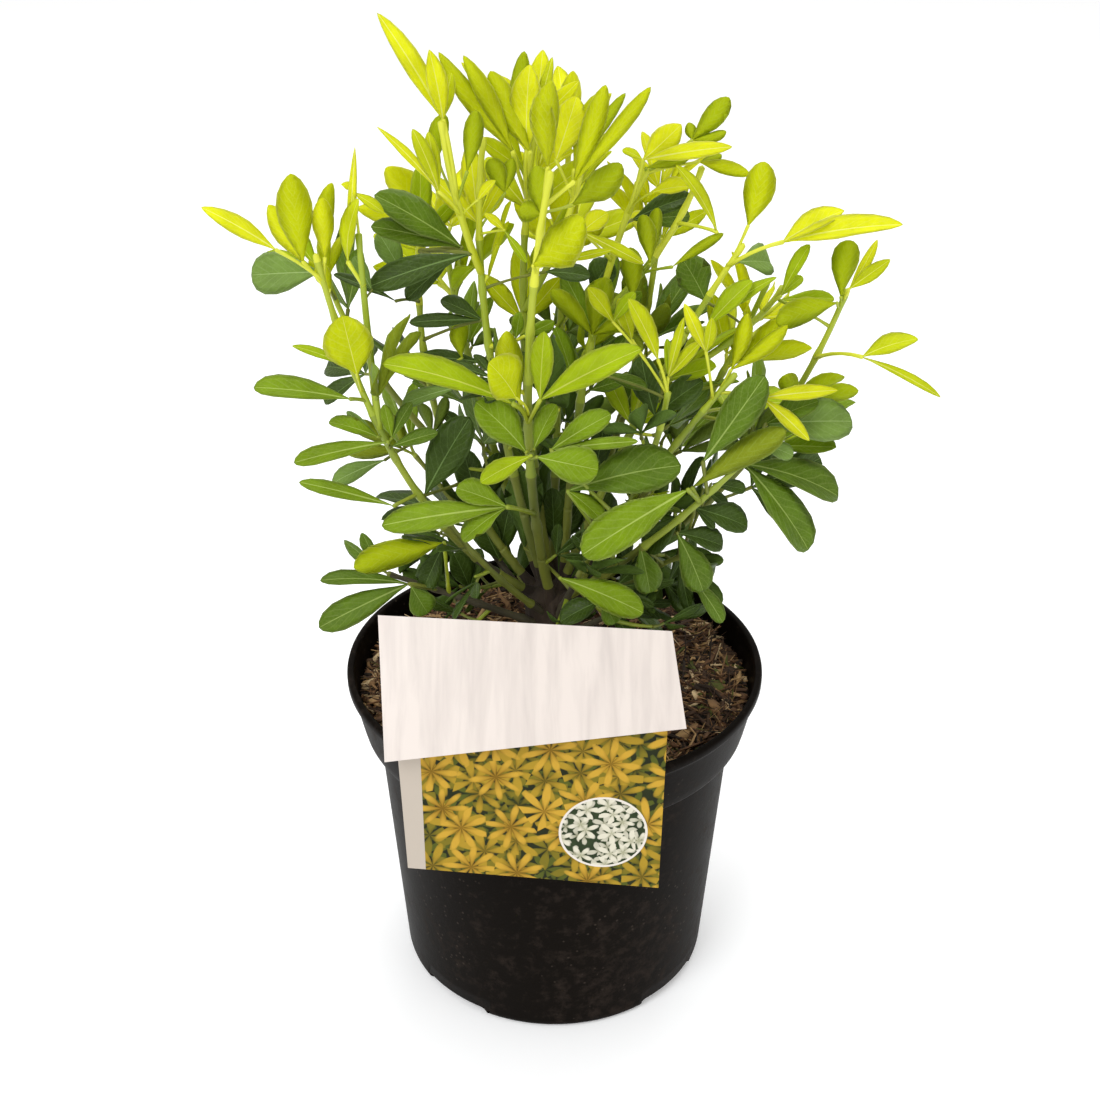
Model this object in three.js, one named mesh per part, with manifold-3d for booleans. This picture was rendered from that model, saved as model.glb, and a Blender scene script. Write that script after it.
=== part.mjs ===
// A young Mexican orange blossom with golden young leaves, in the round plastic pot it was grown in.
// Millimetres, +Z up. The origin is the middle of the pot's flat underside, and -Y is the front.

import * as THREE from "three";
import { mergeVertices } from "three/addons/utils/BufferGeometryUtils.js";
import Module from "manifold-3d";

const wasm = await Module();
wasm.setup();
const { Manifold, Mesh: SolidMesh } = wasm;

// Driving sizes of the pot and its soil
const potHeight = 160;
const rimRadius = 95;
const wall = 1.6;
const lipHeight = 4.5;
const lipProud = 1.6;
const collarFoot = potHeight - 29;
const collarFootRadius = 88.3;
const wallTopRadius = 82.2;
const baseRadius = 73;
const baseRound = 4;
const floorThickness = 2.2;
const turns = 32; // flats round the pot and the soil
const notchCount = 4;
const notchWidth = 40;
const notchHeight = 5;
const notchDepth = 26;
const soilLevel = 148;
const soilEdgeDrop = 3;
const soilLump = 0.8;
const seam = 0.3; // the clear gap between two pieces that touch

// Driving sizes of the woody foot that all the stems rise from
const footBase = soilLevel + seam;
const footTop = 196;
const footRadius = 12.6;
const footFlare = 17;
const footSides = 15;
const footRings = [[0, 1.35], [3, 1.18], [12, 0.96], [30, 0.92], [43, 1]]; // rise, and share of the radius
const footLean = -0.02;

// Driving sizes of the wood: the steps along a limb and the sides round it, and its radius
const facets = { bough: [4, 7], leader: [6, 5], fork: [3, 3] };
const stemRadius = 2.1;
const stemPatch = 5; // of the foot's side that a stem stands on
const taper = { bough: 0.35, leaderTip: 0.45, fork: 0.7, forkTip: 0.42 }; // as shares of the stem's radius
const forkBow = 0.14; // of the fork's reach to the side
const stemPoints = 36; // points that stand for a stem or a fork where distances are measured
const forkPoints = 12;

// Driving sizes of the foliage
const petioleRadius = 0.85;
const spaceOverlap = 16; // how far a leaf may reach past the middle line between two stems
const limbClearance = 3.2;
const leafReach = 150; // leaves and limbs further apart than this can't cross
const soilClearance = 6;
const rimRoom = { inside: 16, outside: 6, below: 10 }; // kept free of leaves, beside the rim
const labelRoom = { left: -79, right: 62, back: -62, top: 234 };

// The label's plates, by their corners from bottom left round: x and z for the upright ones, and
// x, y and z for the header, which leans back
const label = {
  thickness: 0.8,
  cardFront: -96.2,
  card: [[-62, 117], [44, 106], [45, 197.6], [-64, 190.1]],
  stakeFront: -80,
  stake: [[-22, 134], [-2, 134], [0, 215.6], [-24, 213.9]],
  header: [[-68, -105, 179], [52, -101, 192.5], [46.7, -77.2, 223.1], [-71.5, -69, 225.5]],
  headerBack: [0, 0.79, -0.61],
};

const colours = {
  gold: "#c3cf1c",
  green: "#4d7a1e",
  dark: "#2f5420",
  bark: "#7d8a34",
  foot: "#3a2f24",
  plastic: "#191817",
  soil: "#3b281c",
  card: "#ece6df",
};

// One row a stem. It leaves the foot's top at an angle and a distance from the foot's axis, or its side at
// a height, passes through mid halfway, and ends at tip. The first share of it is a bare bough, and the rest
// is the leader of a mass of foliage. turn is the angle of its lowest pair of leaves, and forks are shoots
// that part from the leader.
const stems = [
  {
    name: "front_centre", angle: -100, from: 9.5, mid: [-11, -26, 296], tip: [-2, -39, 398],
    share: 0.12, leaf: 48, pairs: 8, turn: 4, seed: 11, tint: "green",
  },
  {
    name: "tall_left", angle: 215, from: 4.2, mid: [-27, 0, 310], tip: [-28, 2, 399],
    share: 0.16, leaf: 47, pairs: 7, turn: 96, seed: 23, tint: "gold",
    forks: [{ at: 0.62, tip: [-43, -15, 410], pairs: 2, leaf: 60, turn: 90 }],
  },
  {
    name: "centre_top", angle: 110, from: 4.2, mid: [-13, 20, 305], tip: [-8, 21, 396],
    share: 0.16, leaf: 46, pairs: 7, turn: 84, seed: 37, tint: "gold",
    forks: [{ at: 0.5, tip: [12, 14, 392], pairs: 3, leaf: 44 }],
  },
  {
    name: "right_top", angle: 20, from: 4.2, mid: [14, 8, 306], tip: [36, 4, 386],
    share: 0.16, leaf: 44, pairs: 7, turn: 80, seed: 41, tint: "gold",
    forks: [{ at: 0.5, tip: [58, 8, 386], pairs: 3, leaf: 40 }],
  },
  {
    name: "right", angle: -68, from: 4.2, mid: [36, -3, 284], tip: [74, -9, 360],
    share: 0.16, leaf: 46, pairs: 6, turn: 10, seed: 53, tint: "gold",
    forks: [{ at: 0.5, tip: [92, -2, 340], pairs: 2, leaf: 42 }],
  },
  {
    name: "far_right", angle: -10, from: 9.5, mid: [77, 2, 252], tip: [118, -3, 339],
    share: 0.16, leaf: 44, pairs: 6, turn: 10, seed: 67, tint: "gold",
  },
  {
    name: "right_front", angle: -40, from: 9.5, mid: [36, -15, 254], tip: [72, -26, 312],
    share: 0.16, leaf: 38, pairs: 6, turn: 20, seed: 71, tint: "gold",
    forks: [{ at: 0.3, tip: [45, -30, 306], pairs: 3, leaf: 34 }],
  },
  {
    name: "right_low", angle: -70, from: 9.5, mid: [42, -31, 240], tip: [80, -26, 276],
    share: 0.14, radius: 2, leaf: 50, pairs: 5, turn: 0, seed: 83, tint: "dark",
  },
  {
    name: "left_main", angle: 200, from: 9.5, mid: [-60, -18, 258], tip: [-93, -21, 360],
    share: 0.14, leaf: 52, pairs: 8, turn: 0, seed: 97, tint: "green",
    forks: [{ at: 0.6, tip: [-76, -20, 368], pairs: 2, leaf: 42 }],
  },
  {
    name: "left_back", angle: 165, from: 9.5, mid: [-48, 14, 264], tip: [-56, 18, 350],
    share: 0.14, leaf: 48, pairs: 7, turn: 100, seed: 101, tint: "dark",
    forks: [{ at: 0.35, tip: [-96, 30, 330], pairs: 3, leaf: 42 }],
  },
  {
    name: "back_left", angle: 130, from: 9.5, mid: [-36, 42, 280], tip: [-50, 58, 362],
    share: 0.14, leaf: 48, pairs: 6, turn: 70, seed: 113, tint: "gold",
  },
  {
    name: "back_centre", angle: 95, from: 9.5, mid: [2, 42, 292], tip: [6, 64, 380],
    share: 0.14, leaf: 48, pairs: 6, turn: 0, seed: 127, tint: "gold",
  },
  {
    name: "back_right", angle: 60, from: 9.5, mid: [34, 40, 280], tip: [46, 56, 360],
    share: 0.14, leaf: 48, pairs: 6, turn: 45, seed: 131, tint: "gold",
  },
  {
    name: "right_back", angle: 25, from: 9.5, mid: [58, 30, 258], tip: [92, 42, 326],
    share: 0.16, leaf: 46, pairs: 6, turn: 25, seed: 149, tint: "gold",
  },
  {
    name: "low_left", angle: 222, side: 184, mid: [-38, -25, 206], tip: [-71, -30, 222],
    share: 0, radius: 1.8, leaf: 46, pairs: 4, turn: 0, seed: 151, tint: "dark",
  },
  {
    name: "inner_left", angle: 240, side: 192, mid: [-26, -30, 222], tip: [-44, -36, 250],
    share: 0, radius: 1.7, leaf: 46, pairs: 4, turn: 0, seed: 157, tint: "dark",
  },
  {
    name: "low_front", angle: -60, side: 180, mid: [20, -28, 198], tip: [32, -42, 214],
    share: 0, radius: 1.6, leaf: 42, pairs: 3, turn: 10, seed: 163, tint: "dark",
  },
  {
    name: "inner_right", angle: -84, side: 190, mid: [12, -32, 226], tip: [24, -42, 258],
    share: 0, radius: 1.7, leaf: 46, pairs: 4, turn: 40, seed: 167, tint: "dark",
  },
  {
    name: "low_right", angle: -14, side: 184, mid: [32, -14, 208], tip: [54, -22, 226],
    share: 0, radius: 1.8, leaf: 36, pairs: 4, turn: 0, seed: 173, tint: "dark",
  },
  {
    name: "low_back_right", angle: 42, side: 184, mid: [34, 30, 212], tip: [56, 46, 244],
    share: 0, radius: 1.8, leaf: 48, pairs: 3, turn: 40, seed: 181, tint: "dark",
  },
  {
    name: "low_back", angle: 98, side: 180, mid: [-4, 38, 206], tip: [-8, 66, 236],
    share: 0, radius: 1.8, leaf: 48, pairs: 3, turn: 10, seed: 191, tint: "dark",
  },
  {
    name: "low_back_left", angle: 150, side: 184, mid: [-36, 26, 212], tip: [-64, 40, 244],
    share: 0, radius: 1.8, leaf: 48, pairs: 3, turn: 70, seed: 197, tint: "dark",
  },
];

// How a leaf changes along its shoot, from the oldest pair to the youngest
const habit = {
  size: [0.95, 1.02, 0.68],
  spread: [82, 60, 26], // degrees away from the stem
  droop: [0.24, 0.14, 0.02], // of the leaflet's length
  petiole: [0.44, 0.36, 0.2], // of the leaflet's length
  fan: [58, 54, 42], // degrees between the middle leaflet and a side one
  sideLeaflet: 0.8,
  width: [0.22, 0.2, 0.165], // half the width, of the leaflet's length
  fold: 0.3, // rise of the edges, of half the width
  firstPair: 0.1, // where the lowest pair stands, as a share of the leader
  firstForkPair: 0.45,
  lastPair: 0.985,
  crowding: 0.9, // under 1, the pairs stand closer towards the tip
};
const chance = { angle: 14, size: 0.12, roll: 18 }; // how far a leaf strays, in degrees and of its size
const retry = { times: 6, steeper: 0.16, smaller: 0.06 };

const degrees = Math.PI / 180;
const vec = (x, y, z) => new THREE.Vector3(x, y, z);
const group = new THREE.Group();

// Numbers that look random and are the same on every run
function makeDice(seed) {
  let state = seed;
  return (low, high) => {
    state = (Math.imul(state, 1664525) + 1013904223) >>> 0;
    return low + ((high - low) * state) / 4294967296;
  };
}

// The value a third list gives at a place from 0 to 1: first, middle and last, with straight runs between
function along([first, middle, last], place) {
  return place < 0.5
    ? first + (middle - first) * place * 2
    : middle + (last - middle) * (place * 2 - 1);
}

// Solids from geometries, and back
function toSolid(geometry) {
  const bare = geometry.clone();
  bare.deleteAttribute("normal");
  bare.deleteAttribute("uv");
  const merged = mergeVertices(bare, 1e-4);
  return new Manifold(
    new SolidMesh({
      numProp: 3,
      vertProperties: Float32Array.from(merged.attributes.position.array),
      triVerts: Uint32Array.from(merged.index.array),
    }),
  );
}

function toGeometry(solid) {
  const mesh = solid.getMesh();
  const geometry = new THREE.BufferGeometry();
  geometry.setAttribute("position", new THREE.BufferAttribute(mesh.vertProperties, 3));
  geometry.setIndex(new THREE.BufferAttribute(mesh.triVerts, 1));
  geometry.computeVertexNormals();
  return geometry;
}

function addPiece(name, geometry, colour, roughness = 0.7) {
  const material = new THREE.MeshStandardMaterial({ color: colour, roughness, metalness: 0 });
  const piece = new THREE.Mesh(geometry, material);
  piece.name = name;
  group.add(piece);
}

// A closed body from points and triangles
function body(points, faces) {
  const geometry = new THREE.BufferGeometry();
  const flat = points.flatMap((p) => [p.x, p.y, p.z]);
  geometry.setAttribute("position", new THREE.Float32BufferAttribute(flat, 3));
  geometry.setIndex(faces.flat());
  return geometry;
}

// The faces that join rings of points into one closed body with flat ends
function stitched(ringCount, sides) {
  const faces = [];
  for (let i = 0; i < ringCount - 1; i++) {
    for (let k = 0; k < sides; k++) {
      const a = i * sides + k;
      const b = i * sides + ((k + 1) % sides);
      faces.push([a, b, b + sides], [a, b + sides, a + sides]);
    }
  }
  const last = (ringCount - 1) * sides;
  for (let k = 1; k < sides - 1; k++) {
    faces.push([0, k + 1, k], [last, last + k, last + k + 1]);
  }
  return faces;
}

// Two directions square to a stem's own, turned the least from +X and +Y
function sideways(direction) {
  const turn = new THREE.Quaternion().setFromUnitVectors(vec(0, 0, 1), direction);
  return [vec(1, 0, 0).applyQuaternion(turn), vec(0, 1, 0).applyQuaternion(turn)];
}

// A round tapering limb along a curve, between two shares of its length, with flat ends. Where it starts on
// a flat or a side, facing is the way that faces, and the first end is cut to it.
function limb(curve, [start, end], [startRadius, endRadius], [steps, sides], facing) {
  const points = [];
  for (let i = 0; i <= steps; i++) {
    const share = start + ((end - start) * i) / steps;
    const centre = curve.getPoint(share);
    const direction = curve.getTangent(share);
    const [across, up] = sideways(direction);
    const radius = startRadius + ((endRadius - startRadius) * i) / steps;
    for (let k = 0; k < sides; k++) {
      const angle = (2 * Math.PI * k) / sides;
      const arm = across.clone().multiplyScalar(radius * Math.cos(angle))
        .addScaledVector(up, radius * Math.sin(angle));
      if (facing && i === 0) arm.addScaledVector(direction, -arm.dot(facing) / direction.dot(facing));
      points.push(centre.clone().add(arm));
    }
  }
  return body(points, stitched(steps + 1, sides));
}

// The pot: a turned shell with a lip, a deep collar and a tapering wall, and drainage notches round its foot
function potProfile() {
  return [
    [0, 0],
    [baseRadius - baseRound, 0],
    [baseRadius - baseRound * 0.3, baseRound * 0.3],
    [baseRadius + 0.4, baseRound],
    [wallTopRadius, collarFoot - 1],
    [collarFootRadius, collarFoot],
    [rimRadius - lipProud, potHeight - lipHeight],
    [rimRadius, potHeight - lipHeight + 0.6],
    [rimRadius, potHeight - 0.6],
    [rimRadius - 0.6, potHeight],
    [rimRadius - lipProud - wall, potHeight],
    [rimRadius - lipProud - wall, potHeight - lipHeight],
    [collarFootRadius - wall, collarFoot + wall],
    [wallTopRadius - wall, collarFoot],
    [baseRadius + 0.4 - wall, baseRound],
    [baseRadius - baseRound, floorThickness],
    [0, floorThickness],
  ];
}

function turned(profile) {
  const outline = profile.map(([radius, z]) => new THREE.Vector2(radius, z));
  return new THREE.LatheGeometry(outline, turns).rotateX(Math.PI / 2);
}

// An arch with square feet and rounded shoulders, pushed through the wall's foot from outside
function notchCutter(angle) {
  const half = notchWidth / 2;
  const shoulder = notchHeight * 0.8;
  const arch = new THREE.Shape();
  arch.moveTo(-half, -1);
  arch.lineTo(half, -1);
  arch.lineTo(half, notchHeight - shoulder);
  arch.quadraticCurveTo(half, notchHeight, half - shoulder, notchHeight);
  arch.lineTo(shoulder - half, notchHeight);
  arch.quadraticCurveTo(-half, notchHeight, -half, notchHeight - shoulder);
  return new THREE.ExtrudeGeometry(arch, { depth: notchDepth, bevelEnabled: false, curveSegments: 3 })
    .translate(0, 0, baseRadius - notchDepth * 0.7)
    .rotateX(Math.PI / 2)
    .rotateZ(angle);
}

function makePot() {
  let pot = toSolid(turned(potProfile()));
  for (let i = 0; i < notchCount; i++) {
    pot = pot.subtract(toSolid(notchCutter(((i + 0.5) * 2 * Math.PI) / notchCount + 4 * degrees)));
  }
  addPiece("pot", toGeometry(pot), colours.plastic, 0.45);
  return pot;
}

// The slot in the soil for the label's stake: as wide as the stake's top, with a clear seam all round
function stakeSlot() {
  const [[left, bottom], [right], [topRight], [topLeft]] = label.stake;
  const base = bottom - seam;
  const width = topRight - topLeft + 2 * seam;
  return new THREE.BoxGeometry(width, label.thickness + 2 * seam, potHeight - base)
    .translate((left + right) / 2, label.stakeFront + label.thickness / 2, (potHeight + base) / 2);
}

// The soil: it fills the pot to just under the rim, with a low uneven top
function makeSoil() {
  const inset = wall + seam;
  const slope = (rimRadius - lipProud - collarFootRadius) / (potHeight - lipHeight - collarFoot);
  const edge = soilLevel - soilEdgeDrop;
  const profile = [
    [0, floorThickness + seam],
    [baseRadius - baseRound - seam, floorThickness + seam],
    [baseRadius - inset, baseRound + seam],
    [wallTopRadius - inset, collarFoot + seam],
    [collarFootRadius - inset, collarFoot + wall + seam],
    [collarFootRadius - inset + slope * (edge - collarFoot - wall), edge],
    [72, soilLevel - 0.5],
    [46, soilLevel],
    [22, soilLevel],
    [0, soilLevel],
  ];
  const geometry = turned(profile);
  const places = geometry.attributes.position;
  for (let i = 0; i < places.count; i++) {
    const reach = Math.hypot(places.getX(i), places.getY(i));
    const angle = Math.atan2(places.getY(i), places.getX(i));
    const lump = Math.sin(5 * angle + reach * 0.11) + Math.sin(11 * angle - reach * 0.23);
    const onTop = places.getZ(i) > edge && reach > footFlare + 8;
    if (onTop) places.setZ(i, places.getZ(i) + soilLump * lump);
  }
  const soil = toSolid(geometry).subtract(toSolid(stakeSlot()));
  addPiece("soil", toGeometry(soil), colours.soil, 1);
  return soil;
}

// The foot: a short knotty stump with a root flare, ribbed where the stems run down into it
function makeFoot() {
  const rings = [...footRings, [footTop - footBase, 0.96]];
  const points = rings.flatMap(([rise, share]) => Array.from({ length: footSides }, (_, k) => {
    const angle = (2 * Math.PI * k) / footSides;
    const reach = footRadius * share * (1 + 0.05 * Math.cos(5 * angle + 1));
    return vec(footLean * rise + reach * Math.cos(angle), reach * Math.sin(angle), footBase + rise);
  }));
  const stump = toSolid(body(points, stitched(rings.length, footSides)));
  addPiece("foot", toGeometry(stump), colours.foot, 0.9);
  return stump;
}

// A thin plate between four corners, with its thickness on one side
function plate(corners, towards) {
  const front = corners.map((corner) => vec(...corner));
  const back = front.map((corner) => corner.clone().addScaledVector(towards, label.thickness));
  const faces = [[0, 1, 2], [0, 2, 3], [4, 6, 5], [4, 7, 6]];
  for (let k = 0; k < 4; k++) {
    const next = (k + 1) % 4;
    faces.push([k, 4 + k, 4 + next], [k, 4 + next, next]);
  }
  return toSolid(body([...front, ...back], faces));
}

// The label: one thin plastic piece, with a picture card outside the rim, a header over it that leans back,
// and a stake under the header that stands in a slot in the soil
function makeLabel() {
  const upright = (corners, y) => corners.map(([x, z]) => [x, y, z]);
  const header = plate(label.header, vec(...label.headerBack));
  const card = plate(upright(label.card, label.cardFront), vec(0, 1, 0));
  const stake = plate(upright(label.stake, label.stakeFront), vec(0, 1, 0));
  const whole = header.add(card).add(stake);
  addPiece("label", toGeometry(whole), colours.card, 0.4);
  return whole;
}

// How far the foot's side stands out towards an angle, over the patch that a stem covers at a height
function footReach(angle, height) {
  const patch = Manifold.cube([footFlare, stemPatch, stemPatch], true).translate([footFlare / 2, 0, height]);
  return foot.rotate([0, 0, -angle]).intersect(patch).boundingBox().max[0];
}

// Where a stem runs: a bent line from the foot through mid to tip
function stemCurve({ angle, from, side, mid, tip }) {
  const reach = from ?? footReach(angle, side) + seam;
  const turn = angle * degrees;
  const start = vec(reach * Math.cos(turn), reach * Math.sin(turn), side ?? footTop + seam);
  return bentLine(start, vec(...mid), vec(...tip));
}

// A quadratic curve that passes through mid halfway along
function bentLine(start, mid, tip) {
  const pull = mid.clone().multiplyScalar(2).addScaledVector(start, -0.5).addScaledVector(tip, -0.5);
  return new THREE.QuadraticBezierCurve3(start, pull, tip);
}

// A fork leaves the leader and bends up to its own tip
function forkCurve(stem, curve, fork) {
  const share = stem.share + (1 - stem.share) * fork.at;
  const start = curve.getPoint(share);
  const tip = vec(...fork.tip);
  const mid = start.clone().lerp(tip, 0.5);
  const outward = tip.clone().sub(start).setZ(0).multiplyScalar(forkBow);
  return bentLine(start, mid.add(outward), tip);
}

const foot = makeFoot();
for (const stem of stems) {
  stem.curve = stemCurve(stem);
  stem.forks = (stem.forks ?? []).map((fork) => ({
    turn: stem.turn + 45,
    ...fork,
    curve: forkCurve(stem, stem.curve, fork),
  }));
  const forkLines = stem.forks.map((fork) => fork.curve.getPoints(forkPoints));
  stem.limbs = [stem.curve.getPoints(stemPoints), ...forkLines];
  stem.line = stem.limbs.flat();
}

function nearest(point, line) {
  let least = Infinity;
  for (const place of line) least = Math.min(least, place.distanceToSquared(point));
  return Math.sqrt(least);
}

// A point is in a stem's own space if it lies nearer to that stem than to any other, give or take the
// overlap, and clear of every limb, the soil, the rim and the label
function inOwnSpace(stem, point) {
  const reach = Math.hypot(point.x, point.y);
  if (point.z < soilLevel + soilClearance) return false;
  const overRim = reach > rimRadius - rimRoom.inside && reach < rimRadius + rimRoom.outside;
  if (overRim && point.z < potHeight + soilClearance) return false;
  if (reach > rimRadius && point.z < potHeight - rimRoom.below) return false;
  const besideLabel = point.x < labelRoom.left || point.x > labelRoom.right || point.y > labelRoom.back;
  if (!besideLabel && point.z < labelRoom.top) return false;
  const own = nearest(point, stem.line);
  return stems.every((other) => {
    if (other === stem) return true;
    const away = nearest(point, other.line);
    return away > limbClearance && own < away + spaceOverlap;
  });
}

// How one leaf sits on its shoot: a petiole, then three leaflets that fan out from its end
function leafShape(root, direction, outward, size, place, roll) {
  const spread = along(habit.spread, place) * degrees;
  const heading = direction.clone().multiplyScalar(Math.cos(spread))
    .addScaledVector(outward, Math.sin(spread)).normalize();
  const across = direction.clone().cross(outward).normalize().applyAxisAngle(heading, roll);
  const up = heading.clone().cross(across);
  const joint = root.clone().addScaledVector(heading, size * along(habit.petiole, place));
  const leaflets = [0, 1, -1].map((side) => {
    const forward = heading.clone().applyAxisAngle(up, side * along(habit.fan, place) * degrees);
    return {
      joint,
      forward,
      across: forward.clone().cross(up).negate(),
      up,
      length: size * (side ? habit.sideLeaflet : 1),
      droop: along(habit.droop, place),
      half: along(habit.width, place),
    };
  });
  return { root, joint, heading, across, up, leaflets };
}

// A point of a leaflet, at a share along it and a side across it: 0 is its midrib, and -1 and 1 its widest
// edges. Its edges are raised by the fold, and it droops to the tip.
function leafletPoint(leaflet, share, side) {
  const { joint, forward, across, up, length, half, droop } = leaflet;
  const lift = habit.fold * half * Math.abs(side);
  return joint.clone()
    .addScaledVector(forward, length * share)
    .addScaledVector(across, length * half * side)
    .addScaledVector(up, length * (lift - droop * share * share));
}

function leafletProbes(leaflet) {
  return [[0.35, 0], [0.7, 0], [1, 0], [0.65, 1], [0.65, -1]].map((at) => leafletPoint(leaflet, ...at));
}

// A leaflet's four corners: its base, its widest place on either side, and its tip
function corners(leaflet) {
  return [[0.04, 0], [0.6, -1], [1, 0], [0.6, 1]].map((at) => leafletPoint(leaflet, ...at));
}

// Whether a straight line between two points goes through a triangle
function pierces(from, to, [a, b, c]) {
  const step = to.clone().sub(from);
  const ab = b.clone().sub(a);
  const ac = c.clone().sub(a);
  const across = step.clone().cross(ac);
  const scale = ab.dot(across);
  if (Math.abs(scale) < 1e-9) return false;
  const away = from.clone().sub(a);
  const u = away.dot(across) / scale;
  const turn = away.clone().cross(ab);
  const v = step.dot(turn) / scale;
  const t = ac.dot(turn) / scale;
  return u > 0 && v > 0 && u + v < 1 && t > 0 && t < 1;
}

// A leaf in lines and triangles, for the test whether it crosses another leaf or a limb
function outlineOf({ root, joint, heading, leaflets }) {
  const lines = [[root.clone().addScaledVector(heading, 2), joint]];
  const faces = [];
  for (const [base, right, tip, left] of leaflets.map(corners)) {
    lines.push([base, right], [right, tip], [tip, left], [left, base], [base, tip]);
    faces.push([base, right, tip], [base, tip, left]);
  }
  return { lines, faces, centre: joint };
}

function crosses(one, other) {
  const hits = (lines, faces) => lines.some(([a, b]) => faces.some((face) => pierces(a, b, face)));
  return hits(one.lines, other.faces) || hits(other.lines, one.faces);
}

// The corners of a blade's edge, as shares along it and sides across it, from its right side round the tip
const bladeEdges = {
  middle: [[0.36, -0.8], [0.76, -0.94], [1, 0], [0.76, 0.94], [0.36, 0.8]],
  side: [[0.56, -1.14], [1, 0], [0.56, 1.14]],
};

// A leaf is one closed body. Its stalk has three sides, with a top edge and two lower edges, and the faces at
// its end are drawn out into the leaflets, which thin out to their edges and are folded along the midrib.
function leafBody({ root, joint, heading, across, up, leaflets }) {
  const ring = (centre, back) => [[0, 1], [0.87, -0.5], [-0.87, -0.5]].map(([side, rise]) =>
    centre.clone()
      .addScaledVector(heading, -back)
      .addScaledVector(across, petioleRadius * side)
      .addScaledVector(up, petioleRadius * rise));
  const [, aBack, bBack] = ring(joint, 2.5);
  const points = [...ring(root, petioleRadius), ...ring(joint, 0), aBack, bBack];
  const faces = [
    [0, 1, 2], [0, 3, 6], [0, 6, 1], [0, 7, 3], [0, 2, 7], [1, 6, 2], [2, 6, 7], [6, 4, 7], [7, 4, 5],
  ];
  const openings = [[3, 5, 4], [3, 4, 6], [3, 7, 5]];
  leaflets.forEach((leaflet, i) => {
    const [t, right, left] = openings[i];
    const edge = bladeEdges[i === 0 ? "middle" : "side"];
    const rim = edge.map((_, k) => points.length + k);
    const tip = (edge.length - 1) / 2;
    points.push(...edge.map((at) => leafletPoint(leaflet, ...at)));
    faces.push([t, right, rim[0]], [t, rim.at(-1), left], [right, left, rim[tip]]);
    rim.slice(1).forEach((point, k) => {
      faces.push([t, rim[k], point], [k < tip ? right : left, point, rim[k]]);
    });
  });
  return body(points, faces);
}

// The leaves of one shoot: opposite pairs, each a quarter turn from the pair below, smaller and steeper to
// the tip. A leaf that would leave its stem's space or cross another is tried again steeper and smaller,
// and then skipped.
function shootLeaves(stem, curve, first, { pairs, leaf: leafLength, turn }, dice) {
  const found = [];
  for (let i = 0; i < pairs; i++) {
    const place = i / (pairs - 1);
    const share = first + (habit.lastPair - first) * Math.pow(place, habit.crowding);
    const root = curve.getPoint(share);
    const direction = curve.getTangent(share);
    const [across, up] = sideways(direction);
    for (const half of [0, 180]) {
      const angle = (turn + 90 * i + half + dice(-chance.angle, chance.angle)) * degrees;
      const size = leafLength * along(habit.size, place) * dice(1 - chance.size, 1 + chance.size);
      const roll = dice(-chance.roll, chance.roll) * degrees;
      const outward = across.clone().multiplyScalar(Math.cos(angle)).addScaledVector(up, Math.sin(angle));
      for (let attempt = 0; attempt < retry.times; attempt++) {
        const steeper = Math.min(1, place + retry.steeper * attempt);
        const smaller = size * (1 - retry.smaller * attempt);
        const leaf = leafShape(root, direction, outward, smaller, steeper, roll);
        if (!leaf.leaflets.flatMap(leafletProbes).every((point) => inOwnSpace(stem, point))) continue;
        const outline = outlineOf(leaf);
        const near = standing.filter((other) => other.centre.distanceTo(leaf.joint) < leafReach);
        if (near.some((other) => crosses(outline, other))) continue;
        standing.push(outline);
        found.push(leaf);
        break;
      }
    }
  }
  return found;
}

// A stem's own wood: a bare bough, and above it the leader and forks that its mass is built on. A stem from
// the foot's side has no bough, and its leader is cut to face the foot.
function growWood(stem) {
  const { curve, share } = stem;
  const radius = stem.radius ?? stemRadius;
  const startRadius = radius * (1 - taper.bough * share);
  const angle = stem.angle * degrees;
  let facing = vec(Math.cos(angle), Math.sin(angle), 0);
  stem.start = 0;
  if (share > 0) {
    const bough = toSolid(limb(curve, [0, share], [radius, startRadius], facets.bough, vec(0, 0, 1)));
    addPiece(`bough_${stem.name}`, toGeometry(bough), colours.bark, 0.8);
    taken.push(bough);
    facing = undefined;
    stem.start = share + seam / curve.getLength();
  }
  const leaderRadii = [startRadius, radius * taper.leaderTip];
  const forkRadii = [radius * taper.fork, radius * taper.forkTip];
  const leader = limb(curve, [stem.start, 1], leaderRadii, facets.leader, facing);
  const forks = stem.forks.map((fork) => limb(fork.curve, [0, 1], forkRadii, facets.fork));
  stem.wood = Manifold.union([leader, ...forks].map(toSolid));
}

// The mass: the leader and forks with their leaves fused on, without any leaf that meets another piece
function growMass(stem, others) {
  const dice = makeDice(stem.seed);
  const first = stem.start + habit.firstPair * (1 - stem.start);
  const leaves = shootLeaves(stem, stem.curve, first, stem, dice);
  for (const fork of stem.forks) {
    leaves.push(...shootLeaves(stem, fork.curve, habit.firstForkPair, fork, dice));
  }
  const clear = leaves.map((leaf) => toSolid(leafBody(leaf)))
    .filter((solid) => others.every((other) => solid.intersect(other).isEmpty()));
  const parts = Manifold.union([stem.wood, ...clear]).decompose();
  const mass = parts.reduce((a, b) => (a.volume() > b.volume() ? a : b));
  addPiece(`foliage_${stem.name}`, toGeometry(mass), colours[stem.tint], 0.5);
  taken.push(mass);
}

// Every limb stands as lines from the start, so that no leaf is put through one
const standing = stems.flatMap((stem) => stem.limbs).map((points) => ({
  lines: points.slice(1).map((point, i) => [points[i], point]),
  faces: [],
  centre: points[points.length >> 1],
}));
const taken = [makePot(), makeSoil(), foot, makeLabel()];
stems.forEach(growWood);
for (const stem of stems) {
  const woods = stems.filter((other) => other !== stem).map((other) => other.wood);
  growMass(stem, [...taken, ...woods]);
}

export default group;
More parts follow.
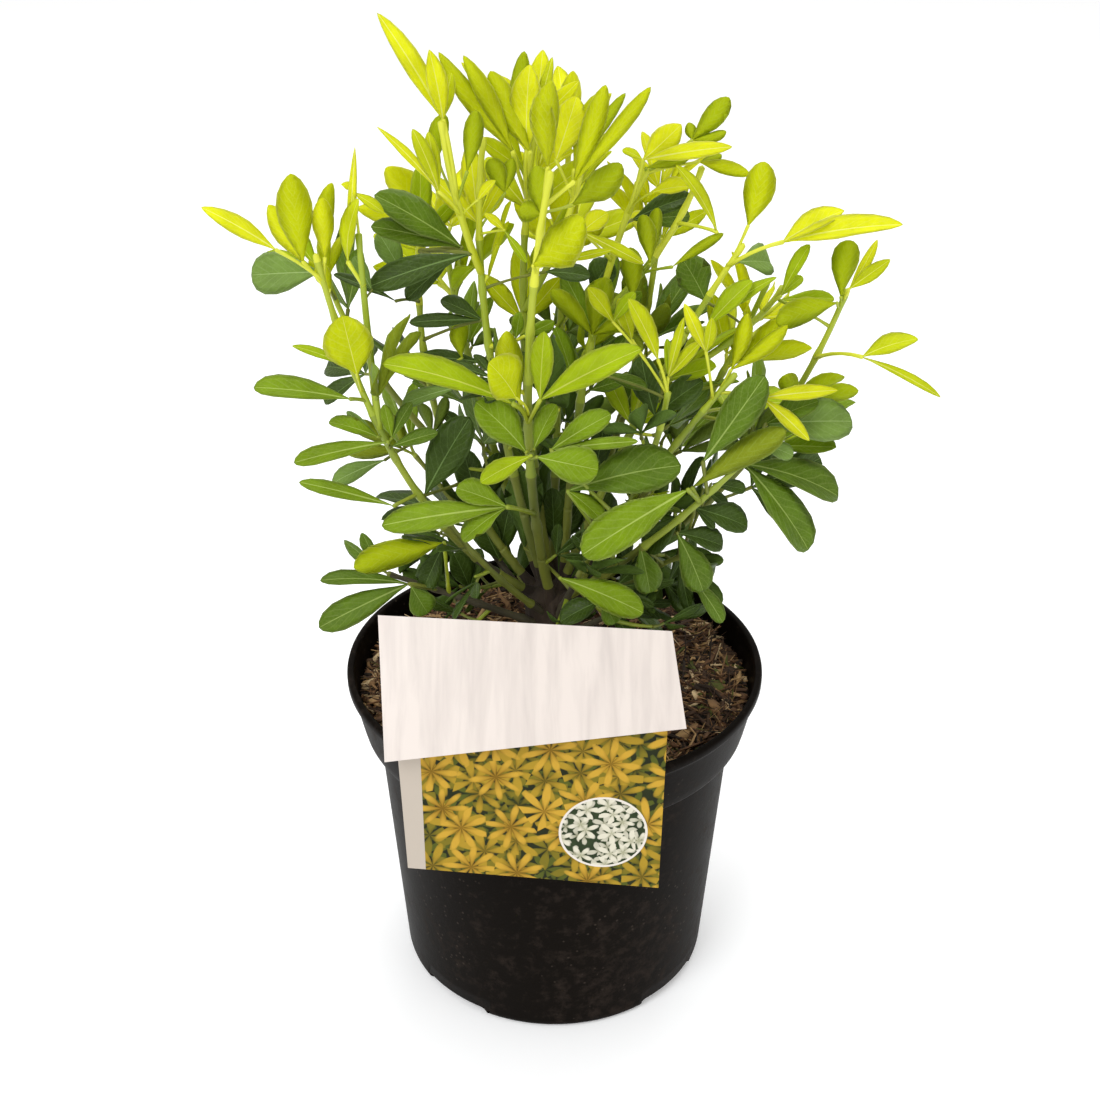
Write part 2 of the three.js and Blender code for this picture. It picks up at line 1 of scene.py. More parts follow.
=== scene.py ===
# A young Mexican orange blossom with golden leaves, in its nursery pot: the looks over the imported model.
# Sizes are in millimetres while shapes are worked out, and makePiece turns them into metres.
import math
import bpy
import numpy as np
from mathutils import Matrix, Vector


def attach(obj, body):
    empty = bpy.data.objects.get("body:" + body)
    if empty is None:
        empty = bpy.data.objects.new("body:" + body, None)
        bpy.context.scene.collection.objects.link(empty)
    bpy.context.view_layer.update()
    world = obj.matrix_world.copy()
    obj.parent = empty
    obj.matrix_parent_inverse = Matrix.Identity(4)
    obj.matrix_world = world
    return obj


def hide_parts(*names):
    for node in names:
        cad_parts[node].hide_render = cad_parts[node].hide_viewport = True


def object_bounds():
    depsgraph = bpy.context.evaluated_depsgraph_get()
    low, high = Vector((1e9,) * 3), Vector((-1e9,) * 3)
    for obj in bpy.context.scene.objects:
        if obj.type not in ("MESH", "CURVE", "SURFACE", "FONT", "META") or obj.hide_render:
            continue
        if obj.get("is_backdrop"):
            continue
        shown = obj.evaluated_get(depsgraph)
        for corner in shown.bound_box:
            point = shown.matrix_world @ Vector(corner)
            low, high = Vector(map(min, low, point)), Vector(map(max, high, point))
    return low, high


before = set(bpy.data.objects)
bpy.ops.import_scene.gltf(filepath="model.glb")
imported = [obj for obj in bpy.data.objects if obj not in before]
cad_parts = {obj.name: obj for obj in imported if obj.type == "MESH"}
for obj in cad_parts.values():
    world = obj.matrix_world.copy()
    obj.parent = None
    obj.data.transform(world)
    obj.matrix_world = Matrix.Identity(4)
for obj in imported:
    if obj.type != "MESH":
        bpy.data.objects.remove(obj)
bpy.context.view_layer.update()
print("frame loaded:", len(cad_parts), "nodes")


# Shader maths and materials
class Wire:
    # A shader value. An expression on wires adds its own Math nodes.
    def __init__(self, finish, socket):
        self.finish = finish
        self.socket = socket

    def maths(self, operation, first, second):
        return self.finish.node("ShaderNodeMath", {"operation": operation}, {0: first, 1: second})

    def __add__(self, other):
        return self.maths("ADD", self, other)

    def __radd__(self, other):
        return self.maths("ADD", other, self)

    def __sub__(self, other):
        return self.maths("SUBTRACT", self, other)

    def __rsub__(self, other):
        return self.maths("SUBTRACT", other, self)

    def __mul__(self, other):
        return self.maths("MULTIPLY", self, other)

    def __rmul__(self, other):
        return self.maths("MULTIPLY", other, self)

    def __lt__(self, other):
        return self.maths("LESS_THAN", self, other)

    def __gt__(self, other):
        return self.maths("GREATER_THAN", self, other)

    def does(self, operation, other=0.0):
        return self.maths(operation, self, other)


class Finish:
    # One material, with a node for each step of its pattern
    def __init__(self, name):
        self.material = bpy.data.materials.new(name)
        self.material.use_nodes = True
        self.tree = self.material.node_tree
        self.tree.nodes.clear()
        self.end = self.tree.nodes.new("ShaderNodeOutputMaterial")

    def node(self, kind, settings=None, sockets=None, output=0):
        made = self.tree.nodes.new(kind)
        for name, value in (settings or {}).items():
            if name == "stops":
                self.setStops(made.color_ramp, value)
            else:
                setattr(made, name, value)
        for name, value in (sockets or {}).items():
            if isinstance(value, Wire):
                self.tree.links.new(value.socket, made.inputs[name])
            else:
                made.inputs[name].default_value = value
        return Wire(self, made.outputs[output])

    def setStops(self, ramp, stops):
        while len(ramp.elements) < len(stops):
            ramp.elements.new(0.5)
        for element, (place, value) in zip(ramp.elements, stops):
            element.position = place
            element.color = (value, value, value, 1) if isinstance(value, (int, float)) else value

    def place(self):
        return self.node("ShaderNodeTexCoord", None, None, "Object")

    def stretched(self, scale):
        return self.node("ShaderNodeMapping", None, {"Vector": self.place(), "Scale": scale})

    def noise(self, scale, detail=3.0, rough=0.5, where=None, warp=0.0):
        sockets = {"Vector": where or self.place(), "Scale": scale, "Detail": detail, "Roughness": rough,
                   "Distortion": warp}
        return self.node("ShaderNodeTexNoise", None, sockets)

    def cells(self, scale, feature="F1", output="Distance"):
        sockets = {"Vector": self.place(), "Scale": scale}
        return self.node("ShaderNodeTexVoronoi", {"feature": feature}, sockets, output)

    def ramp(self, value, *stops):
        return self.node("ShaderNodeValToRGB", {"stops": stops}, {"Fac": value})

    def blend(self, share, first, second, how="MIX"):
        settings = {"data_type": "RGBA", "blend_type": how}
        return self.node("ShaderNodeMix", settings, {0: share, 6: first, 7: second}, 2)

    def relief(self, height, distance, strength):
        sockets = {"Height": height, "Distance": distance, "Strength": strength}
        return self.node("ShaderNodeBump", None, sockets)

    def finish(self, sockets, glow=None, glowShare=0.0):
        shader = self.node("ShaderNodeBsdfPrincipled", None, sockets)
        if glow:
            through = self.node("ShaderNodeBsdfTranslucent", None, {"Color": glow})
            shader = self.node("ShaderNodeMixShader", None, {0: glowShare, 1: shader, 2: through})
        self.tree.links.new(shader.socket, self.end.inputs["Surface"])
        return self.material


def hexColour(code):
    # A colour as it shows, turned to the linear values that shaders use
    parts = [int(code[i:i + 2], 16) / 255 for i in (1, 3, 5)]
    return (*[c / 12.92 if c <= 0.04045 else ((c + 0.055) / 1.055) ** 2.4 for c in parts], 1.0)


def scaled(colour, factor):
    # A lighter or darker shade of a colour
    return (*[min(1.0, c * factor) for c in colour[:3]], 1.0)


# Meshes
def makePiece(name, points, quads, triangles, materials, slots=None, smooth=True, spots=None):
    # Puts arrays of points (mm) and faces into a mesh, and lets it ride on the plant's one body
    mesh = bpy.data.meshes.new(name)
    quads = np.asarray(quads, np.int32).reshape(-1, 4)
    triangles = np.asarray(triangles, np.int32).reshape(-1, 3)
    loops = np.concatenate([quads.ravel(), triangles.ravel()])
    starts = np.concatenate([np.arange(len(quads)) * 4, len(quads) * 4 + np.arange(len(triangles)) * 3])
    mesh.vertices.add(len(points))
    mesh.vertices.foreach_set("co", (np.asarray(points, float) * 0.001).astype(np.float32).ravel())
    mesh.loops.add(len(loops))
    mesh.loops.foreach_set("vertex_index", loops)
    mesh.polygons.add(len(starts))
    mesh.polygons.foreach_set("loop_start", starts.astype(np.int32))
    for material in materials:
        mesh.materials.append(material)
    if slots is not None:
        mesh.polygons.foreach_set("material_index", np.asarray(slots, np.int32))
    mesh.polygons.foreach_set("use_smooth", np.full(len(starts), smooth))
    if spots is not None:
        mesh.uv_layers.new(name="blade").data.foreach_set("uv", spots[loops].astype(np.float32).ravel())
    mesh.update(calc_edges=True)
    mesh.validate()
    piece = bpy.data.objects.new(name, mesh)
    bpy.context.scene.collection.objects.link(piece)
    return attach(piece, "root")


def ringFaces(count, rings, sides):
    # Faces of closed bodies of rings of points, each with a pole before its first ring and one after its
    # last. Quads join ring to ring, and triangles join the end rings to the poles. All face outwards when the
    # rings run anticlockwise about the way they are carried.
    size = rings * sides + 2
    ring = np.arange(rings - 1)[:, None] * sides
    side = np.arange(sides)[None]
    following = (side + 1) % sides
    quads = 1 + np.stack([ring + side, ring + following, ring + sides + following, ring + sides + side], -1)
    first = np.stack([np.zeros(sides, int), 1 + following[0], 1 + side[0]], -1)
    last = size - 1 - sides
    second = np.stack([np.full(sides, size - 1), last + side[0], last + following[0]], -1)
    offset = (np.arange(count) * size)[:, None, None]
    quads = quads.reshape(1, -1, 4) + offset
    triangles = np.concatenate([first, second])[None] + offset
    return quads.reshape(-1, 4), triangles.reshape(-1, 3)


def ringBody(ringPoints, firstPoles, lastPoles):
    # Points of bodies made of rings (count, rings, sides, 3) and their two poles, in the order ringFaces uses
    count, size = len(ringPoints), ringPoints.shape[-1]
    flat = ringPoints.reshape(count, -1, size)
    return np.concatenate([firstPoles[:, None], flat, lastPoles[:, None]], 1).reshape(-1, size)


def unit(vectors):
    return vectors / np.linalg.norm(vectors, axis=-1, keepdims=True)


def turnAbout(vectors, axes, angles):
    # Vectors turned about unit axes: v cos a + (axis x v) sin a + axis (axis . v)(1 - cos a)
    angles = np.asarray(angles)[..., None]
    along = (axes * vectors).sum(-1, keepdims=True)
    turned = vectors * np.cos(angles) + np.cross(axes, vectors) * np.sin(angles)
    return turned + axes * along * (1 - np.cos(angles))


def ripple(points, seed, waves, shortest, longest):
    # A smooth lumpy value for each point: the mean of sines along random directions, between two wavelengths
    dice = np.random.default_rng(seed)
    directions = unit(dice.normal(size=(waves, 3)))
    lengths = np.exp(dice.uniform(np.log(shortest), np.log(longest), waves))
    phases = dice.uniform(0, 2 * math.pi, waves)
    height = np.sin(points @ (directions / lengths[:, None] * 2 * math.pi).T + phases)
    return height.mean(-1) * math.sqrt(2 * waves)


def ringAngles(sides):
    # The angles of the points round a ring
    return np.arange(sides) * 2 * math.pi / sides


# How the plant grows: the source's rule and sizes, in mm
stems = [
    dict(name="front_centre", angle=-100, reach=9.5, mid=[-11, -26, 296], tip=[-2, -39, 398],
         share=0.12, leaf=48, pairs=8, turn=4, seed=11, tint="green"),
    dict(name="tall_left", angle=215, reach=4.2, mid=[-27, 0, 310], tip=[-28, 2, 399],
         share=0.16, leaf=47, pairs=7, turn=96, seed=23, tint="gold",
         forks=[dict(at=0.62, tip=[-43, -15, 410], pairs=2, leaf=60, turn=90)]),
    dict(name="centre_top", angle=110, reach=4.2, mid=[-13, 20, 305], tip=[-8, 21, 396],
         share=0.16, leaf=46, pairs=7, turn=84, seed=37, tint="gold",
         forks=[dict(at=0.5, tip=[12, 14, 392], pairs=3, leaf=44)]),
    dict(name="right_top", angle=20, reach=4.2, mid=[14, 8, 306], tip=[36, 4, 386],
         share=0.16, leaf=44, pairs=7, turn=80, seed=41, tint="gold",
         forks=[dict(at=0.5, tip=[58, 8, 386], pairs=3, leaf=40)]),
    dict(name="right", angle=-68, reach=4.2, mid=[36, -3, 284], tip=[74, -9, 360],
         share=0.16, leaf=46, pairs=6, turn=10, seed=53, tint="gold",
         forks=[dict(at=0.5, tip=[92, -2, 340], pairs=2, leaf=42)]),
    dict(name="far_right", angle=-10, reach=9.5, mid=[77, 2, 252], tip=[118, -3, 339],
         share=0.16, leaf=44, pairs=6, turn=10, seed=67, tint="gold"),
    dict(name="right_front", angle=-40, reach=9.5, mid=[36, -15, 254], tip=[72, -26, 312],
         share=0.16, leaf=38, pairs=6, turn=20, seed=71, tint="gold",
         forks=[dict(at=0.3, tip=[45, -30, 306], pairs=3, leaf=34)]),
    dict(name="right_low", angle=-70, reach=9.5, mid=[42, -31, 240], tip=[80, -26, 276],
         share=0.14, radius=2, leaf=50, pairs=5, turn=0, seed=83, tint="dark"),
    dict(name="left_main", angle=200, reach=9.5, mid=[-60, -18, 258], tip=[-93, -21, 360],
         share=0.14, leaf=52, pairs=8, turn=0, seed=97, tint="green",
         forks=[dict(at=0.6, tip=[-76, -20, 368], pairs=2, leaf=42)]),
    dict(name="left_back", angle=165, reach=9.5, mid=[-48, 14, 264], tip=[-56, 18, 350],
         share=0.14, leaf=48, pairs=7, turn=100, seed=101, tint="dark",
         forks=[dict(at=0.35, tip=[-96, 30, 330], pairs=3, leaf=42)]),
    dict(name="back_left", angle=130, reach=9.5, mid=[-36, 42, 280], tip=[-50, 58, 362],
         share=0.14, leaf=48, pairs=6, turn=70, seed=113, tint="gold"),
    dict(name="back_centre", angle=95, reach=9.5, mid=[2, 42, 292], tip=[6, 64, 380],
         share=0.14, leaf=48, pairs=6, turn=0, seed=127, tint="gold"),
    dict(name="back_right", angle=60, reach=9.5, mid=[34, 40, 280], tip=[46, 56, 360],
         share=0.14, leaf=48, pairs=6, turn=45, seed=131, tint="gold"),
    dict(name="right_back", angle=25, reach=9.5, mid=[58, 30, 258], tip=[92, 42, 326],
         share=0.16, leaf=46, pairs=6, turn=25, seed=149, tint="gold"),
    dict(name="low_left", angle=222, side=184, mid=[-38, -25, 206], tip=[-71, -30, 222],
         share=0, radius=1.8, leaf=46, pairs=4, turn=0, seed=151, tint="dark"),
    dict(name="inner_left", angle=240, side=192, mid=[-26, -30, 222], tip=[-44, -36, 250],
         share=0, radius=1.7, leaf=46, pairs=4, turn=0, seed=157, tint="dark"),
    dict(name="low_front", angle=-60, side=180, mid=[20, -28, 198], tip=[32, -42, 214],
         share=0, radius=1.6, leaf=42, pairs=3, turn=10, seed=163, tint="dark"),
    dict(name="inner_right", angle=-84, side=190, mid=[12, -32, 226], tip=[24, -42, 258],
         share=0, radius=1.7, leaf=46, pairs=4, turn=40, seed=167, tint="dark"),
    dict(name="low_right", angle=-14, side=184, mid=[32, -14, 208], tip=[54, -22, 226],
         share=0, radius=1.8, leaf=36, pairs=4, turn=0, seed=173, tint="dark"),
    dict(name="low_back_right", angle=42, side=184, mid=[34, 30, 212], tip=[56, 46, 244],
         share=0, radius=1.8, leaf=48, pairs=3, turn=40, seed=181, tint="dark"),
    dict(name="low_back", angle=98, side=180, mid=[-4, 38, 206], tip=[-8, 66, 236],
         share=0, radius=1.8, leaf=48, pairs=3, turn=10, seed=191, tint="dark"),
    dict(name="low_back_left", angle=150, side=184, mid=[-36, 26, 212], tip=[-64, 40, 244],
         share=0, radius=1.8, leaf=48, pairs=3, turn=70, seed=197, tint="dark"),
]
habit = dict(size=[0.95, 1.02, 0.68], spread=[82, 60, 26], droop=[0.24, 0.14, 0.02],
             petiole=[0.44, 0.36, 0.2], fan=[58, 54, 42], sideLeaflet=0.8, width=[0.22, 0.2, 0.165], fold=0.3,
             firstPair=0.1, firstForkPair=0.45, lastPair=0.985, crowding=0.9)
chance = dict(angle=14, size=0.12, roll=18, twigRoll=20)
retry = dict(times=6, steeper=0.16, smaller=0.06)
room = dict(soil=154, rim=95, inside=16, outside=6, rimTop=166, rimFoot=150, labelLeft=-79, labelRight=62,
            labelBack=-62, labelTop=234, limb=3.2, overlap=16)
foot = dict(base=148.3, top=196, radius=12.6, stemRadius=2.1, gap=0.3)
forkHabit = dict(turn=45, outward=[0.14, 0.14, 0])
lineSteps = dict(stem=37, fork=13)
diceRule = dict(factor=1664525, step=1013904223, span=4294967296)


def makeDice(seed):
    # The source's own run of random-looking numbers
    state = [seed]

    def roll(low, high):
        state[0] = (state[0] * diceRule["factor"] + diceRule["step"]) % diceRule["span"]
        return low + (high - low) * state[0] / diceRule["span"]
    return roll


def along(values, place):
    # What a list of three gives at a place from 0 to 1: first, middle and last, with straight runs between
    return float(np.interp(place, [0, 0.5, 1], values))


def bentLine(start, mid, tip):
    # Control points of the curve (1-t)^2 start + 2t(1-t) pull + t^2 tip that passes through mid halfway
    start, mid, tip = (np.asarray(p, float) for p in (start, mid, tip))
    return np.array([start, 2 * mid - 0.5 * (start + tip), tip])


def pointOn(curve, share):
    # Where the curve is at a share of its run
    share = np.asarray(share, float)[..., None]
    return (1 - share) ** 2 * curve[0] + 2 * share * (1 - share) * curve[1] + share ** 2 * curve[2]


def wayOn(curve, share):
    # The curve's direction at a share of its run
    share = np.asarray(share, float)[..., None]
    return unit((1 - share) * (curve[1] - curve[0]) + share * (curve[2] - curve[1]))


def sideways(way):
    # Two directions square to each way: X and Y turned by the least turn that takes Z to the way
    x, y, z = way[..., 0], way[..., 1], way[..., 2]
    first = np.stack([1 - x * x / (1 + z), -x * y / (1 + z), -x], -1)
    second = np.stack([-x * y / (1 + z), 1 - y * y / (1 + z), -y], -1)
    return first, second


for stem in stems:
    angle = math.radians(stem["angle"])
    out = stem.get("reach", foot["radius"])
    start = [out * math.cos(angle), out * math.sin(angle), stem.get("side", foot["top"] + foot["gap"])]
    stem["curve"] = bentLine(start, stem["mid"], stem["tip"])
    turn = stem["turn"] + forkHabit["turn"]
    stem["forks"] = [dict(dict(turn=turn), **fork) for fork in stem.get("forks", [])]
    for fork in stem["forks"]:
        origin = pointOn(stem["curve"], stem["share"] + (1 - stem["share"]) * fork["at"])
        tip = np.array(fork["tip"], float)
        outward = (tip - origin) * forkHabit["outward"]
        fork["curve"] = bentLine(origin, (origin + tip) / 2 + outward, tip)
    stem["lines"] = [pointOn(stem["curve"], np.linspace(0, 1, lineSteps["stem"]))]
    stem["lines"] += [pointOn(fork["curve"], np.linspace(0, 1, lineSteps["fork"])) for fork in stem["forks"]]
stemPoints = np.concatenate([line for stem in stems for line in stem["lines"]])
stemStarts = np.cumsum([0] + [sum(map(len, stem["lines"])) for stem in stems])[:-1]


def inOwnSpace(owner, points):
    # True if every point lies nearer to its own stem than to any other, give or take the overlap, and clear
    # of every limb, the soil, the rim and the label
    reach = np.hypot(points[:, 0], points[:, 1])
    height = points[:, 2]
    if (height < room["soil"]).any():
        return False
    overRim = (reach > room["rim"] - room["inside"]) & (reach < room["rim"] + room["outside"])
    if (overRim & (height < room["rimTop"])).any():
        return False
    if ((reach > room["rim"]) & (height < room["rimFoot"])).any():
        return False
    byLabel = (points[:, 0] > room["labelLeft"]) & (points[:, 0] < room["labelRight"])
    if (byLabel & (points[:, 1] < room["labelBack"]) & (height < room["labelTop"])).any():
        return False
    away = np.linalg.norm(points[:, None] - stemPoints[None], axis=-1)
    away = np.minimum.reduceat(away, stemStarts, axis=1)
    others = np.delete(away, owner, 1)
    return bool((others > room["limb"]).all() and (away[:, [owner]] < others + room["overlap"]).all())


def leafShape(root, way, outward, size, place, roll):
    # How one leaf sits on its shoot: a petiole, then three leaflets that fan out from its end
    spread = math.radians(along(habit["spread"], place))
    heading = unit(way * math.cos(spread) + outward * math.sin(spread))
    across = turnAbout(unit(np.cross(way, outward)), heading, roll)
    up = np.cross(heading, across)
    fan = np.radians(along(habit["fan"], place)) * np.array([0, 1, -1])
    forward = turnAbout(heading, up, fan)
    joint = root + heading * size * along(habit["petiole"], place)
    length = size * np.array([1, habit["sideLeaflet"], habit["sideLeaflet"]])
    return dict(root=root, joint=joint, way=way, up=up, forward=forward, side=np.cross(up, forward),
                length=length, droop=along(habit["droop"], place), half=along(habit["width"], place),
                place=place, heading=heading)


def leafPoints(leaf, spots):
    # Points of the three leaflets at (share along, side across): joint + forward L s + side L w c + up L lift
    spots = np.array(spots, float)
    length = leaf["length"][:, None, None]
    half, up = np.reshape(leaf["half"], (-1, 1, 1)), np.reshape(leaf["up"], (-1, 1, 3))
    lift = habit["fold"] * half * abs(spots[:, 1:]) - leaf["droop"] * spots[:, :1] ** 2
    return (leaf["joint"] + leaf["forward"][:, None] * length * spots[:, :1]
            + leaf["side"][:, None] * length * half * spots[:, 1:] + up * length * lift)


# A leaflet as the crossing test sees it: corners at (share along, side across), and which of them are joined
rough = dict(corners=[(0.04, 0), (0.38, -0.82), (0.8, -0.88), (1, 0), (0.8, 0.88), (0.38, 0.82)],
             lines=[[0, 1], [1, 2], [2, 3], [3, 4], [4, 5], [5, 0], [0, 3]],
             faces=[[0, 1, 5], [1, 2, 4], [1, 4, 5], [2, 3, 4]], stalkFrom=2, near=75.0)


def leafOutline(leaf):
    # A leaf in straight lines and triangles, for the test whether it crosses another leaf or a limb
    corners = leafPoints(leaf, rough["corners"])
    lines = corners[:, rough["lines"]].reshape(-1, 2, 3)
    stalk = np.array([[leaf["root"] + rough["stalkFrom"] * leaf["heading"], leaf["joint"]]])
    return np.concatenate([stalk, lines]), corners[:, rough["faces"]].reshape(-1, 3, 3)


def anyCross(lines, faces):
    # Whether any line goes through any triangle, for all pairs at once: it does where the crossing point's
    # shares u and v along the triangle's sides, and t along the line, lie inside
    if not len(lines) or not len(faces):
        return False
    corner, ab, ac = faces[:, 0], faces[:, 1] - faces[:, 0], faces[:, 2] - faces[:, 0]
    step = (lines[:, 1] - lines[:, 0])[:, None]
    away = lines[:, 0][:, None] - corner
    across = np.cross(step, ac)
    scale = (ab * across).sum(-1)
    scale = np.where(abs(scale) < 1e-9, np.inf, scale)
    turn = np.cross(away, ab)
    u = (away * across).sum(-1) / scale
    v = (step * turn).sum(-1) / scale
    t = (ac * turn).sum(-1) / scale
    return bool(((u > 0) & (v > 0) & (u + v < 1) & (t > 0) & (t < 1)).any())


class Standing:
    # The leaves and limbs that stand so far
    def __init__(self):
        self.lines, self.faces, self.lineAt, self.faceAt = [], [], [], []
        for stem in stems:
            for line in stem["lines"]:
                pairs = np.stack([line[:-1], line[1:]], 1)
                self.lines.append(pairs)
                self.lineAt.append(pairs.mean(1))

    def free(self, leaf, outline):
        # Whether a leaf crosses none of those near it
        lines, faces = outline
        lineAt, faceAt = np.concatenate(self.lineAt), np.concatenate(self.faceAt or [np.zeros((0, 3))])
        close = np.linalg.norm(lineAt - leaf["joint"], axis=1) < rough["near"]
        if anyCross(np.concatenate(self.lines)[close], faces):
            return False
        if not len(faceAt):
            return True
        close = np.linalg.norm(faceAt - leaf["joint"], axis=1) < rough["near"]
        return not anyCross(lines, np.concatenate(self.faces)[close])

    def add(self, outline):
        lines, faces = outline
        self.lines.append(lines)
        self.lineAt.append(lines.mean(1))
        self.faces.append(faces)
        self.faceAt.append(faces.mean(1))


probeSpots = [(0.35, 0), (0.7, 0), (1, 0), (0.65, 1), (0.65, -1)]


def tryLeaf(standing, owner, root, way, outward, size, place, roll):
    # A leaf that would leave its stem's space or cross another is tried again, steeper and smaller, and at
    # last skipped
    for attempt in range(retry["times"]):
        steeper = min(1, place + retry["steeper"] * attempt)
        smaller = size * (1 - retry["smaller"] * attempt)
        leaf = leafShape(root, way, outward, smaller, steeper, roll)
        if not keepsClear(leaf) or not inOwnSpace(owner, leafPoints(leaf, probeSpots).reshape(-1, 3)):
            continue
        outline = leafOutline(leaf)
        if standing.free(leaf, outline):
            standing.add(outline)
            return leaf
    return None


def shootLeaves(standing, owner, curve, first, shoot, dice, found):
    # Opposite pairs, each a quarter turn from the pair below, smaller and steeper to the tip
    for i in range(shoot["pairs"]):
        place = i / (shoot["pairs"] - 1)
        share = first + (habit["lastPair"] - first) * place ** habit["crowding"]
        root, way = pointOn(curve, share), wayOn(curve, share)
        across, up = sideways(way)
        for half in (0, 180):
            angle = math.radians(shoot["turn"] + 90 * i + half + dice(-chance["angle"], chance["angle"]))
            size = shoot["leaf"] * along(habit["size"], place) * dice(1 - chance["size"], 1 + chance["size"])
            roll = math.radians(dice(-chance["roll"], chance["roll"]))
            outward = across * math.cos(angle) + up * math.sin(angle)
            leaf = tryLeaf(standing, owner, root, way, outward, size, place, roll)
            if leaf:
                leaf.update(stem=owner, age=1 - place)
                found.append(leaf)


# The photograph is seen from the viewer's place, looking down by the pitch, with its focal length in pixels
viewer = np.array([-2.1, -624.0, 571.0])
eye = dict(pitch=0.5166, focal=1620.0, centre=550.0)

